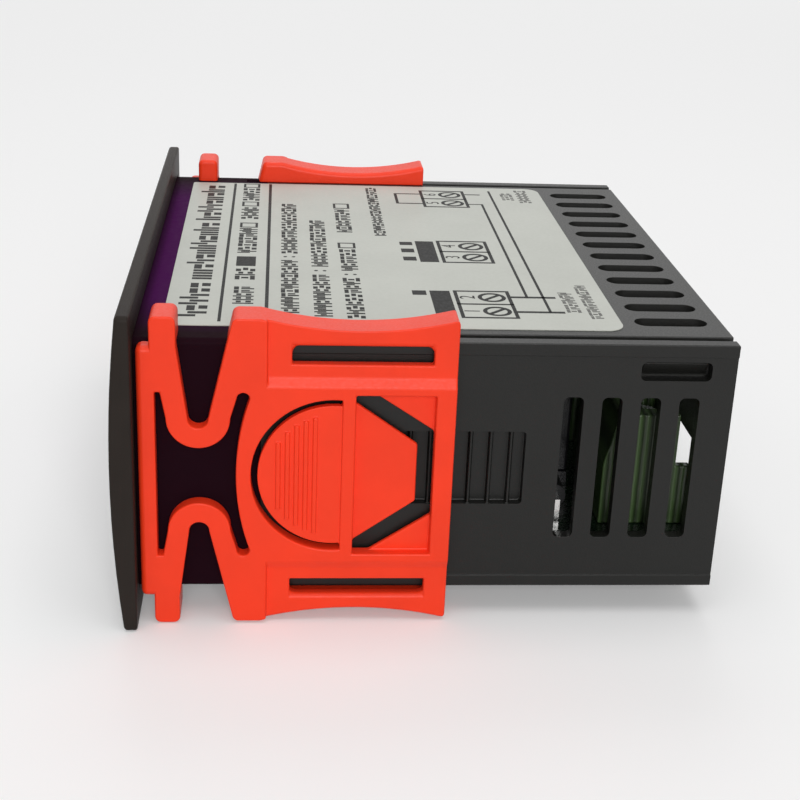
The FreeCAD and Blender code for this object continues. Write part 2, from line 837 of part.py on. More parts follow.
def clip_outline(stretch):
    """Outline of the clip's web: front bar, hooks and concave wings, from the near side."""
    bar = half_height
    front = d.clip_front - stretch
    hook_front = d.hook_front - stretch
    step = d.spring_centre
    flat_end = d.wing_front + d.wing_flat
    span = clip_rear - flat_end
    sweep = Arc((span * span / 4 + d.wing_sag * d.wing_sag) / (2 * d.wing_sag), "left")
    upper = [(front, bar), (hook_front, bar), (hook_front, hook_top), (step, hook_top), (step, wing_top),
             (flat_end, wing_top), sweep, (clip_rear, wing_top)]
    lower = [(clip_rear, -wing_top), sweep, (flat_end, -wing_top), (step, -wing_top), (step, -hook_top),
             (hook_front, -hook_top), (hook_front, -bar), (front, -bar)]
    return upper + lower


def spring_opening(stretch):
    """Outline of the clip's H-shaped opening between the front bar, the springs and the body."""
    bar = d.clip_front - stretch + d.bar_width
    top = d.spring_slot_top
    centre = d.spring_floor + d.spring_radius
    left = d.spring_centre - d.spring_radius
    right = d.spring_centre + d.spring_radius
    slot_right = d.spring_waist + d.spring_waist_sag
    end = d.spring_slot_right / 2
    low = top - end
    slot_middle = slot_right - end
    slot_left = slot_right - d.spring_slot_right
    bend = Arc(d.spring_radius, "left")
    tip = Arc(end, "right")
    waist = Arc((low * low + d.spring_waist_sag * d.spring_waist_sag) / (2 * d.spring_waist_sag), "left")
    return [
        (bar, -top), (bar, top), (bar + d.spring_slot_left, top), (left, centre), bend,
        (d.spring_centre, d.spring_floor), bend, (right, centre),
        (slot_left, low), tip, (slot_middle, top), tip, (slot_right, low), waist,
        (slot_right, -low), tip, (slot_middle, -top), tip, (slot_left, -low),
        (right, -centre), bend, (d.spring_centre, -d.spring_floor), bend, (left, -centre),
        (bar + d.spring_slot_left, -top),
    ]


def spring_gap(stretch):
    """Outline of the V-shaped gap between the upper hook and the body."""
    radius = d.spring_radius - d.spring_band
    centre = d.spring_floor + d.spring_radius
    top = hook_top + 1
    hook_rear = d.hook_front - stretch + d.hook_width
    bend = Arc(radius, "left")
    return [
        (hook_rear, top), (hook_rear, half_height), (d.spring_centre - radius, centre), bend,
        (d.spring_centre, centre - radius), bend, (d.spring_centre + radius, centre),
        (d.wing_front, wing_top), (d.wing_front, top),
    ]


def pad_slot_outline():
    """Outline of the round slot that frees the thumb pad."""
    inner = d.pad_radius - d.pad_slot / 2
    outer = d.pad_radius + d.pad_slot / 2
    end = d.pad_centre + d.pad_slot_end
    inner_z = root(inner * inner - d.pad_slot_end * d.pad_slot_end)
    outer_z = root(outer * outer - d.pad_slot_end * d.pad_slot_end)
    rim = Arc(outer, "left")
    back = Arc(inner, "right")
    return [
        (end, outer_z), rim, (d.pad_centre - outer, ZERO), rim, (end, -outer_z),
        (end, -inner_z), back, (d.pad_centre - inner, ZERO), back, (end, inner_z),
    ]


def pad_face_outline():
    """Outline of the sunk face of the thumb pad."""
    radius = d.pad_radius - d.pad_slot / 2
    end = d.pad_centre + d.pad_slot_end
    end_z = root(radius * radius - d.pad_slot_end * d.pad_slot_end)
    rim = Arc(radius, "left")
    return [(end, end_z), rim, (d.pad_centre - radius, ZERO), rim, (end, -end_z)]


def pad_ribs():
    """Outlines of the grip ribs across the thumb pad."""
    radius = d.pad_radius - d.pad_slot / 2 - d.pad_rib_margin
    ribs = []
    for number in range(int(d.pad_rib_count.value)):
        middle = d.pad_rib_first + d.pad_rib_pitch * number
        offset = d.pad_centre - middle
        half = root(radius * radius - offset * offset)
        ribs.append(rectangle((middle - d.pad_rib_width / 2, middle + d.pad_rib_width / 2), (-half, half)))
    return ribs


def pawl_cut():
    """Outline cut through the pocket's floor, leaving the pawl and two corner gussets."""
    high = d.pawl_pocket_height / 2
    gusset = high - d.gusset_rise
    root_z = d.pawl_root / 2
    tip_z = d.pawl_tip / 2
    upper = [(pocket_front, high), (pocket_front, root_z), (pawl_tip_y, tip_z)]
    lower = [(pawl_tip_y, -tip_z), (pocket_front, -root_z), (pocket_front, -high),
             (pocket_front + d.gusset_start, -high), (pocket_rear, -gusset)]
    return upper + lower + [(pocket_rear, gusset), (pocket_front + d.gusset_start, high)]


def make_clip(name, stretch):
    """Spring clip of one moulding, on the +X side, with its springs stretched forwards."""
    body = new_body(name)
    web = (clip_inner, clip_outer)
    through = (clip_inner - 1, clip_outer + 1)
    prism(body, "clip_web", "X", web, [clip_outline(stretch)])
    flat_end = d.wing_front + d.wing_flat
    span = clip_rear - flat_end
    sweep = Arc((span * span / 4 + d.wing_sag * d.wing_sag) / (2 * d.wing_sag), "right")
    spring_side = d.spring_centre + d.spring_radius - d.spring_band
    spring_level = d.spring_floor + d.spring_radius
    lean = (d.wing_front - spring_side) / (wing_top - spring_level)
    wing_section = [(d.wing_front - lean * (wing_top - flange_low), flange_low), (clip_rear, flange_low),
                    (clip_rear, wing_top), sweep, (flat_end, wing_top), (d.wing_front, wing_top)]
    wing_flange = prism(body, "wing_flange", "X", (half_width - d.wing_reach, clip_inner), [wing_section])
    hook_y = (d.hook_front - stretch, d.hook_front - stretch + d.hook_width)
    hook_section = rectangle(hook_y, (flange_low, hook_top))
    hook_flange = prism(body, "hook_flange", "X", (half_width - d.hook_reach, clip_inner), [hook_section])
    lip_x = (groove_in + d.lip_clearance, groove_out - d.lip_clearance)
    lip_z = (flange_low - d.groove_depth + d.lip_clearance, flange_low)
    lip = prism(body, "wing_lip", "Y", (d.wing_front, clip_rear), [rectangle(lip_x, lip_z)])
    gap = prism(body, "spring_gap", "X", through, [spring_gap(stretch)], remove=True)
    panel_x = clip_outer - d.panel_recess
    panel_foot = d.panel_edge - d.panel_slope
    panel_section = [(clip_outer, panel_foot), (clip_outer + 1, panel_foot), (clip_outer + 1, wing_top + 1),
                     (panel_x, wing_top + 1), (panel_x, d.panel_edge)]
    panel = prism(body, "wing_panel", "Y", (d.panel_front, clip_rear + 1), [panel_section], remove=True)
    slot_y = (d.wing_slot_front, clip_rear - d.wing_slot_rear)
    slot = prism(body, "wing_slot", "X", through, [rectangle(slot_y, (d.wing_slot_edge, half_height))],
                 remove=True)
    mirror(body, "lower_half", [wing_flange, hook_flange, lip, gap, panel, slot], "XY_Plane")
    prism(body, "spring_opening", "X", through, [spring_opening(stretch)], remove=True)
    prism(body, "pad_face", "X", (clip_outer - d.pad_sink, clip_outer + 1), [pad_face_outline()], remove=True)
    pad_back = clip_outer - d.pad_sink - d.pad_thickness
    prism(body, "pad_back", "X", (clip_inner - 1, pad_back), [pad_face_outline()], remove=True)
    prism(body, "pad_ribs", "X", (clip_outer - d.pad_sink, clip_outer), pad_ribs())
    prism(body, "pad_slot", "X", through, [pad_slot_outline()], remove=True)
    pocket_z = (-d.pawl_pocket_height / 2, d.pawl_pocket_height / 2)
    prism(body, "pawl_pocket", "X", (clip_inner + d.pawl_floor, clip_outer + 1),
          [rectangle((pocket_front, pocket_rear), pocket_z)], remove=True)
    prism(body, "pawl_cut", "X", through, [pawl_cut()], remove=True)
    nose_z = (-d.pawl_tip / 2, d.pawl_tip / 2)
    prism(body, "pawl_nose", "X", (clip_inner - d.nose_depth, clip_inner),
          [rectangle((nose_rear - d.nose_width, nose_rear), nose_z)])
    corners = [(hook_y[0], hook_top), (hook_y[1], hook_top), (d.wing_front, wing_top)]
    round_edges(body, "clip_corners", d.clip_corner, lambda edge: is_clip_corner(edge, corners))
    round_edges(body, "hook_ends", d.hook_end_round, is_hook_end)
    place(body, ZERO, ZERO, -d.clip_slack / 2)
    return body


def is_clip_corner(edge, corners):
    """True for the outer corners of the hooks and the front corners of the wings."""
    middle = edge.CenterOfMass
    near = [abs(middle.y - y.value) < NEAR and abs(abs(middle.z) - z.value) < NEAR for y, z in corners]
    return along(edge, "x") and any(near)


def is_hook_end(edge):
    """True for the edges round the inner ends of the hooks, apart from the ones that lie on the housing."""
    box = edge.BoundBox
    end_x = (half_width - d.hook_reach).value
    low = flange_low.value + NEAR
    on_end = abs(box.XMin - end_x) < NEAR and abs(box.XMax - end_x) < NEAR
    before_springs = box.YMax < d.spring_centre.value
    return on_end and before_springs and max(abs(box.ZMin), abs(box.ZMax)) > low


def make_left_clip():
    """The other clip, on the -X side, one tooth further back and with its springs at rest."""
    mirrored = doc.addObject("Part::Mirroring", "left_clip_mirrored")
    mirrored.Source = make_clip("left_clip_source", d.far_clip_stretch)
    mirrored.Normal = FreeCAD.Vector(1, 0, 0)
    moved = group("left_clip", [mirrored])
    place(moved, ZERO, d.tooth_pitch, ZERO)
    return moved


def make_button(name, x, z):
    """Button cap with a retaining flange behind the front wall and a stem to its switch."""
    body = new_body(name)
    flange_front = wall_back + d.button_gap
    flange_back = flange_front + d.button_flange_thickness
    prism(body, f"{name}_cap", "Y", (-bezel_front - d.button_proud, flange_back), [button_hole(x, z, ZERO)])
    prism(body, f"{name}_flange", "Y", (flange_front, flange_back),
          [button_hole(x, z, d.button_gap + d.button_flange)])
    stem = rectangle((x - d.stem_radius, x + d.stem_radius), (z - d.stem_radius, z + d.stem_radius))
    prism(body, f"{name}_stem", "Y", (flange_back, plunger_front), [stem])
    face = (-bezel_front - d.button_proud).value
    round_edges(body, f"{name}_edge", d.button_edge_round, lambda edge: edge.BoundBox.YMax < face + NEAR)
    return body


switch_front = display_back - d.switch_depth
plunger_front = switch_front - d.plunger_proud


def make_plunger(name, x, z):
    """Round plunger of a switch, reaching from the button's stem into the switch body."""
    return rod(name, "Y", (x, plunger_front, z), d.plunger_radius, d.plunger_proud + d.plunger_sink)


def make_switch(name, x, z):
    """Switch body on the display board, bored for its plunger."""
    half = d.switch_size / 2
    case = block(f"{name}_case", (x - half, x + half), (switch_front, display_back), (z - half, z + half))
    depth = d.plunger_sink + d.button_travel + d.button_gap
    bore = rod(f"{name}_bore", "Y", (x, switch_front, z), d.plunger_radius + d.button_gap, depth)
    return cut(name, case, [bore])


def make_lamp(name, z):
    """Round indicator lamp with a flange and a domed end."""
    x = window_x[0] + d.lamp_inset
    tip = display_back - d.lamp_length
    neck = tip + d.lamp_radius
    foot = display_back - d.lamp_flange
    flange = rod(f"{name}_flange", "Y", (x, foot, z), d.lamp_flange_radius, d.lamp_flange)
    barrel = rod(f"{name}_barrel", "Y", (x, neck, z), d.lamp_radius, d.lamp_length - d.lamp_radius)
    end = dome(f"{name}_dome", (x, neck, z), d.lamp_radius)
    return fuse(name, [flange, barrel, end])


def make_display_side():
    """Display board with the display, the lamps, the switches and the controller chip."""
    nodes = []
    board_half_x = shell_inner_x - d.fit_gap
    board_half_z = shell_inner_z - d.fit_gap
    nodes.append(block("display_board", (-board_half_x, board_half_x), (display_back, board_back),
                       (-board_half_z, board_half_z)))
    left = window_x[0] + d.display_offset
    nodes.append(block("led_display", (left, left + d.display_width), (display_front, display_back),
                       (-d.display_height / 2, d.display_height / 2)))
    lamps = [make_lamp(f"lamp_{index}", d.lamp_pitch * (index - 1)) for index in range(3)]
    nodes.append(group("indicator_leds", lamps))
    switches = []
    for name, (x, z) in BUTTONS.items():
        nodes.append(make_button(name, x, z))
        nodes.append(make_plunger(name.replace("button", "plunger"), x, z))
        switches.append(make_switch(name.replace("button", "switch"), x, z))
    nodes.append(group("tact_switches", switches))
    nodes.append(block("control_chip", (d.chip_x - d.chip_width / 2, d.chip_x + d.chip_width / 2),
                       (board_back, board_back + d.chip_thickness), (-d.chip_height / 2, d.chip_height / 2)))
    return nodes


def make_header():
    """Pin strip on the main board whose pins reach the display board."""
    half = d.header_length / 2
    front = board_front + d.header_front
    middle_z = board_top + d.header_size / 2
    strip = block("header_strip", (-half, half), (front, front + d.header_size),
                  (board_top, board_top + d.header_size))
    pins = []
    for number in range(int(d.pin_count.value)):
        x = d.pin_pitch * (number - (d.pin_count - 1) / 2)
        pin_x = (x - d.pin_size / 2, x + d.pin_size / 2)
        pin_z = (middle_z - d.pin_size / 2, middle_z + d.pin_size / 2)
        pins.append(block(f"header_pin_{number}", pin_x, (board_back, front), pin_z))
    return [strip, group("header_pins", pins)]


def make_transformer():
    """Laminated core with two windows, and a bobbin and winding round its middle leg."""
    left = -board_x + d.core_side
    right = left + d.core_width
    front = board_front + d.core_front
    back = front + d.core_stack
    low = board_top
    high = low + d.core_height
    middle = (left + right) / 2
    leg = d.core_leg
    window_low_z = low + leg
    window_high_z = high - leg
    outer = block("core_block", (left, right), (front, back), (low, high))
    through = (front - 1, back + 1)
    window_z = (window_low_z, window_high_z)
    windows = [
        block("core_window_left", (left + leg, middle - leg), through, window_z),
        block("core_window_right", (middle + leg, right - leg), through, window_z),
    ]
    core = cut("transformer_core", outer, windows)
    wall = d.bobbin_wall
    gap = d.fit_gap
    build = d.winding_build
    sleeve = (middle - leg - gap - wall, middle + leg + gap + wall)
    sleeve_y = (front - gap - wall, back + gap + wall)
    spool_z = (window_low_z, window_high_z)
    coil_z = (spool_z[0] + wall, spool_z[1] - wall)
    reach_x = (sleeve[0] - build, sleeve[1] + build)
    reach_y = (sleeve_y[0] - build, sleeve_y[1] + build)
    leg_hole = ((middle - leg - gap, middle + leg + gap), (front - gap, back + gap))
    spool = fuse("bobbin_blank", [
        block("bobbin_sleeve", sleeve, sleeve_y, spool_z),
        block("bobbin_lower_flange", reach_x, reach_y, (spool_z[0], coil_z[0])),
        block("bobbin_upper_flange", reach_x, reach_y, (coil_z[1], spool_z[1])),
    ])
    bobbin = cut("transformer_bobbin", spool, [block("bobbin_hole", *leg_hole, (low, high))])
    coil = block("winding_block", reach_x, reach_y, coil_z)
    winding = cut("transformer_winding", coil, [block("winding_hole", sleeve, sleeve_y, (low, high))])
    return [core, bobbin, winding]


def make_relay():
    """Sealed relay: a base plate and a box-shaped case."""
    x = (d.relay_x - d.relay_width / 2, d.relay_x + d.relay_width / 2)
    front = board_front + d.relay_front
    y = (front, front + d.relay_length)
    base_top = board_top + d.relay_base_height
    base = block("relay_base", x, y, (board_top, base_top))
    case = block("relay_case", x, y, (base_top, board_top + d.relay_height))
    return [base, case]


def make_can(name, x, front, radius, height):
    """Upright electrolytic capacitor with a crimp ring near its foot."""
    y = board_front + front
    crimp_low = board_top + radius / 2
    body = rod(f"{name}_can", "Z", (x, y, board_top), radius, height)
    ring = rod(f"{name}_ring", "Z", (x, y, crimp_low), radius + 1, d.can_crimp)
    neck = rod(f"{name}_neck", "Z", (x, y, crimp_low), radius - d.can_crimp / 2, d.can_crimp)
    return cut(name, body, [cut(f"{name}_crimp", ring, [neck])])


def make_diodes():
    """Row of rectifier diodes near the side wall, each on two bent leads."""
    bodies = []
    leads = []
    x = board_x - d.diode_side
    middle_z = board_top + d.lead_rise + d.diode_radius
    start = x - d.diode_length
    half = d.lead_size / 2
    lead_z = (middle_z - half, middle_z + half)
    runs = {
        "inner": (start - d.lead_rise - half, start),
        "outer": (x, x + d.lead_rise + half),
    }
    drops = {
        "inner": (start - d.lead_rise - half, start - d.lead_rise + half),
        "outer": (x + d.lead_rise - half, x + d.lead_rise + half),
    }
    for number in range(int(d.diode_count.value)):
        y = board_front + d.diode_front + d.diode_pitch * number
        lead_y = (y - half, y + half)
        bodies.append(rod(f"diode_{number}", "X", (start, y, middle_z), d.diode_radius, d.diode_length))
        for side, run in runs.items():
            level = block(f"lead_{side}_{number}", run, lead_y, lead_z)
            drop = block(f"lead_drop_{side}_{number}", drops[side], lead_y, (board_top, middle_z))
            leads.append(fuse(f"diode_lead_{side}_{number}", [level, drop]))
    return [group("rectifier_diodes", bodies), group("diode_leads", leads)]


def make_small_parts():
    """Regulator, varistor and buzzer on the main board."""
    x = d.regulator_x
    y = board_front + d.regulator_front
    radius = d.regulator_radius
    barrel = rod("regulator_barrel", "Z", (x, y, board_top), radius, d.regulator_height)
    flat = block("regulator_flat_cut", (x - radius, x + radius), (y + d.regulator_flat, y + radius),
                 (board_top, board_top + d.regulator_height))
    regulator = cut("regulator", barrel, [flat])
    disc_y = board_front + d.varistor_front
    varistor = rod("varistor", "Y", (d.varistor_x, disc_y, board_top + d.varistor_radius), d.varistor_radius,
                   d.varistor_thickness)
    buzzer_y = board_front + d.buzzer_front
    can = rod("buzzer_can", "Z", (d.buzzer_x, buzzer_y, board_top), d.buzzer_radius, d.buzzer_height)
    port_foot = board_top + d.buzzer_height / 2
    port = rod("buzzer_port_hole", "Z", (d.buzzer_x, buzzer_y, port_foot), d.buzzer_port, d.buzzer_height)
    return [regulator, varistor, cut("buzzer", can, [port])]


terminal_back = d.housing_depth - d.terminal_rear
terminal_face = terminal_back - d.terminal_foot
terminal_half = d.terminal_pitch / 2 + d.entry_width / 2 + d.terminal_end
entry_low = board_top + d.entry_floor
entry_high = entry_low + d.entry_height
terminal_wall = terminal_back - d.terminal_nose
screw_y = (terminal_wall + terminal_face + d.terminal_lean) / 2
screw_top = board_top + d.terminal_height - d.screw_sink


def terminal_profile():
    """Side outline of a terminal's block, which leans back above its shoulder."""
    top = board_top + d.terminal_height
    shoulder = board_top + d.terminal_shoulder
    return [(terminal_face, board_top), (terminal_wall, board_top), (terminal_wall, top),
            (terminal_face + d.terminal_lean, top), (terminal_face, shoulder)]


def terminal_fins(centre):
    """Outlines of the fins at the ends of a terminal and between its wire entries, from behind."""
    half = d.terminal_fin / 2
    reach = terminal_half - half
    fin_z = (board_top, board_top + d.terminal_shoulder)
    middles = (centre - reach, centre, centre + reach)
    return [rectangle((middle - half, middle + half), fin_z) for middle in middles]


def make_terminal(name, centre):
    """Two-way screw terminal with wire entries between fins at the back and screw shafts on top."""
    body = new_body(name)
    prism(body, f"{name}_block", "X", (centre - terminal_half, centre + terminal_half), [terminal_profile()])
    prism(body, f"{name}_fins", "Y", (terminal_wall - 1, terminal_back), terminal_fins(centre))
    entries = []
    shafts = []
    for side in (-1, 1):
        x = centre + d.terminal_pitch / 2 * side
        entries.append(rectangle((x - d.entry_width / 2, x + d.entry_width / 2), (entry_low, entry_high)))
        wide = d.screw_radius + d.screw_clearance
        shafts.append(rectangle((x - wide, x + wide), (screw_y - wide, screw_y + wide)))
    entry_y = (terminal_back - d.entry_depth, terminal_back + 1)
    prism(body, f"{name}_entries", "Y", entry_y, entries, remove=True)
    prism(body, f"{name}_shafts", "Z", (entry_high, board_top + d.terminal_height + 1), shafts, remove=True)
    return body


def make_clamp(name, x):
    """Wire clamp: a short square tube inside a wire entry."""
    back = screw_y + d.clamp_depth / 2
    front = screw_y - d.clamp_depth / 2
    half = d.entry_width / 2 - d.fit_gap
    outside = block(f"{name}_tube", (x - half, x + half), (front, back), (entry_low, entry_high))
    wall = d.clamp_wall
    hole = block(f"{name}_hole", (x - half + wall, x + half - wall), (front - 1, back + 1),
                 (entry_low + wall, entry_high - wall))
    return cut(name, outside, [hole])


def make_screw(name, x):
    """Slotted clamp screw standing on its clamp."""
    head_low = screw_top - d.screw_head
    shank = rod(f"{name}_shank", "Z", (x, screw_y, entry_high), d.screw_shank_radius, head_low - entry_high)
    head = rod(f"{name}_head", "Z", (x, screw_y, head_low), d.screw_radius, d.screw_head)
    blank = fuse(f"{name}_blank", [shank, head])
    slot = block(f"{name}_slot", (x - d.screw_radius - 1, x + d.screw_radius + 1),
                 (screw_y - d.screw_slot / 2, screw_y + d.screw_slot / 2),
                 (screw_top - d.screw_head / 2, screw_top + 1))
    return cut(name, blank, [slot])


def make_terminals():
    """Three two-way terminals across the rear, with their clamps and screws."""
    side = board_x - terminal_half - d.terminal_side
    centres = {"load_terminal": side, "sensor_terminal": ZERO, "power_terminal": -side}
    nodes = []
    clamps = []
    screws = []
    for name, centre in centres.items():
        nodes.append(make_terminal(name, centre))
        for index, sign in enumerate((-1, 1)):
            x = centre + d.terminal_pitch / 2 * sign
            clamps.append(make_clamp(f"{name}_clamp_{index}", x))
            screws.append(make_screw(f"{name}_screw_{index}", x))
    return nodes + [group("terminal_clamps", clamps), group("terminal_screws", screws)]


def make_main_board():
    """Board in the tray."""
    return block("main_board", (-board_x, board_x), (board_front, board_rear), (board_bottom, board_top))


def make_nodes():
    """Every piece of the controller."""
    nodes = [make_bezel(), make_front_shell(), make_housing(), make_top_cover(), make_label()]
    nodes += [make_clip("right_clip", ZERO), make_left_clip()]
    nodes += make_display_side()
    nodes += [make_main_board()] + make_header() + make_transformer() + make_relay()
    nodes.append(make_can("filter_capacitor", d.filter_x, d.filter_front, d.filter_radius, d.filter_height))
    nodes.append(make_can("output_capacitor", d.output_x, d.output_front, d.output_radius, d.output_height))
    nodes += make_diodes() + make_small_parts() + make_terminals()
    return nodes


def check(nodes):
    """Stop if any object failed or any piece has no sound solid."""
    failed = [o.Name for o in doc.Objects if "Invalid" in o.State or "Error" in o.State]
    if failed:
        raise RuntimeError(f"failed objects: {failed}")
    for node in nodes:
        if node.Shape.isNull() or not node.Shape.isValid() or not node.Shape.Solids:
            raise RuntimeError(f"unsound piece: {node.Label}")


def write(nodes):
    """Write each piece to its own file."""
    os.makedirs("parts", exist_ok=True)
    for node in nodes:
        node.Shape.exportStep(f"parts/{node.Label}.step")


pieces = make_nodes()
doc.recompute()
check(pieces)
write(pieces)
for piece in pieces:
    print(f"{piece.Label}: {len(piece.Shape.Solids)} solids, {piece.Shape.Volume:.1f} mm3")
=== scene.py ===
import itertools
import json
import math
import random

import bmesh
import bpy
from mathutils import Matrix, Vector

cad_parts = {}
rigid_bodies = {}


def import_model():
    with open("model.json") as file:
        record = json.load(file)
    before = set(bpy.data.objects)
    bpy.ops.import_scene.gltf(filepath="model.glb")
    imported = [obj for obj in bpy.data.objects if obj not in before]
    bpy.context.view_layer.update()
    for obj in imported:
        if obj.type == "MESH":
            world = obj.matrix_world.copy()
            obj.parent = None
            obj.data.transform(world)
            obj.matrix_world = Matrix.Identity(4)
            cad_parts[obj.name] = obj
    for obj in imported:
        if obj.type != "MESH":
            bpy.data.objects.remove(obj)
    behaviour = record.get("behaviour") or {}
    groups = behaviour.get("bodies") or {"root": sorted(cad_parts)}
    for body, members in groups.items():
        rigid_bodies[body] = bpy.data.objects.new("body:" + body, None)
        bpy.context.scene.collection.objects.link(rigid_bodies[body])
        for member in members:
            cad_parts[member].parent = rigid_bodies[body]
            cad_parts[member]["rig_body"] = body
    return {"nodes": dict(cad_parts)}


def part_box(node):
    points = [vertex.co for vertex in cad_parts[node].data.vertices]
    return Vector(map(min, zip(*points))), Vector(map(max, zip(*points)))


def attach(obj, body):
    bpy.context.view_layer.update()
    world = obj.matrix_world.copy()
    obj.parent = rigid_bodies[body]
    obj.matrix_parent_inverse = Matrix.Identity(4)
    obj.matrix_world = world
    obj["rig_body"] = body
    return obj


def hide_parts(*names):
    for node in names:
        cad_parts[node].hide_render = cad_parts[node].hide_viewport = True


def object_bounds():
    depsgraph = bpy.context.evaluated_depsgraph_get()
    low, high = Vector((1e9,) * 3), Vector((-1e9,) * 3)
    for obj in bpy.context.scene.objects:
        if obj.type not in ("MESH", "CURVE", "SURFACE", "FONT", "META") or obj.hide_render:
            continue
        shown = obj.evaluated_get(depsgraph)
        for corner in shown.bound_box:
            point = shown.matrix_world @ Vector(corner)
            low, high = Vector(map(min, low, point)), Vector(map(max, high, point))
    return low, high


# Looks of a panel-mount digital temperature controller, in metres, in the frame of its solids.
# X runs across the front, Y runs back through the panel, Z is up. The front faces -Y.

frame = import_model()
cad_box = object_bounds()
nodes = frame["nodes"]

MM = 0.001
ROOT = "controller"

# Camera of the photograph, from its fitted place, axes and focal length
CAMERA_PLACE = Vector((178.277, 14.804, 65.765)) * MM
CAMERA_RIGHT = Vector((0.07238601, 0.99659531, 0.0394721))
CAMERA_UP = Vector((-0.37552685, -0.00943052, 0.92676354))
CAMERA_BACK = Vector((0.92398044, -0.08190755, 0.37356566))
CAMERA_LENS = 66.73
CAMERA_SENSOR = 36.0
CAMERA_CLIP = (0.01, 50.0)

# Colours as they show in daylight, 0 to 255
BACKGROUND = (242, 242, 242)
FLOOR_PALE = (230, 230, 230)
CLIP_RED = (240, 59, 27)
LABEL_GREY = (188, 190, 182)
PRINT_GREY = (22, 22, 21)
PRINT_PALE = (96, 96, 93)
HOUSING_BLACK = (16, 16, 14)
# The cover's black, made lighter as painted light on its top
COVER_BLACK_PAINTED_LIGHT = (24, 24, 22)
BEZEL_GREY = (46, 41, 38)
# The collar's violet with painted light, and with painted shade
SHELL_PAINTED_LIGHT_VIOLET = (78, 14, 84)
SHELL_PAINTED_SHADE_VIOLET = (36, 16, 25)
PANE_VIOLET = (168, 62, 150)
TERMINAL_GREEN = (58, 78, 44)
BOARD_GREEN = (10, 24, 13)
BUTTON_GREY = (158, 160, 164)
SWITCH_BLACK = (30, 30, 30)
PLUNGER_WHITE = (206, 205, 198)
DISPLAY_GREY = (44, 44, 46)
SEGMENT_PALE = (150, 142, 140)
LAMP_RED = (176, 48, 42)
CHIP_BLACK = (30, 30, 31)
PIN_GOLD = (222, 184, 110)
CORE_STEEL = (132, 134, 138)
BOBBIN_WHITE = (208, 206, 194)
TAPE_YELLOW = (206, 168, 62)
RELAY_BLACK = (26, 26, 28)
CAN_BLACK = (32, 33, 40)
CAN_TOP = (198, 200, 202)
TINNED = (226, 226, 224)
VARISTOR_BLUE = (52, 104, 170)
SCREW_STEEL = (204, 205, 207)


def linear(value):
    """One channel of a colour, from 0 to 255, as an amount of light on the sRGB curve."""
    part = value / 255
    return part / 12.92 if part <= 0.04045 else ((part + 0.055) / 1.055) ** 2.4


def light(colour, gain=1.0):
    """A colour from 0 to 255 as the shader takes it, made lighter or darker by a factor."""
    return tuple(min(1.0, linear(c) * gain) for c in colour) + (1.0,)


def placed(name, data):
    """A new object with this data, in the scene."""
    thing = bpy.data.objects.new(name, data)
    bpy.context.scene.collection.objects.link(thing)
    return thing


# A wave texture of scale 1 repeats every pi / 10 units
WAVE_TURN = math.pi / 10
# A noise texture hardly leaves this range
NOISE_RANGE = (0.3, 0.7)


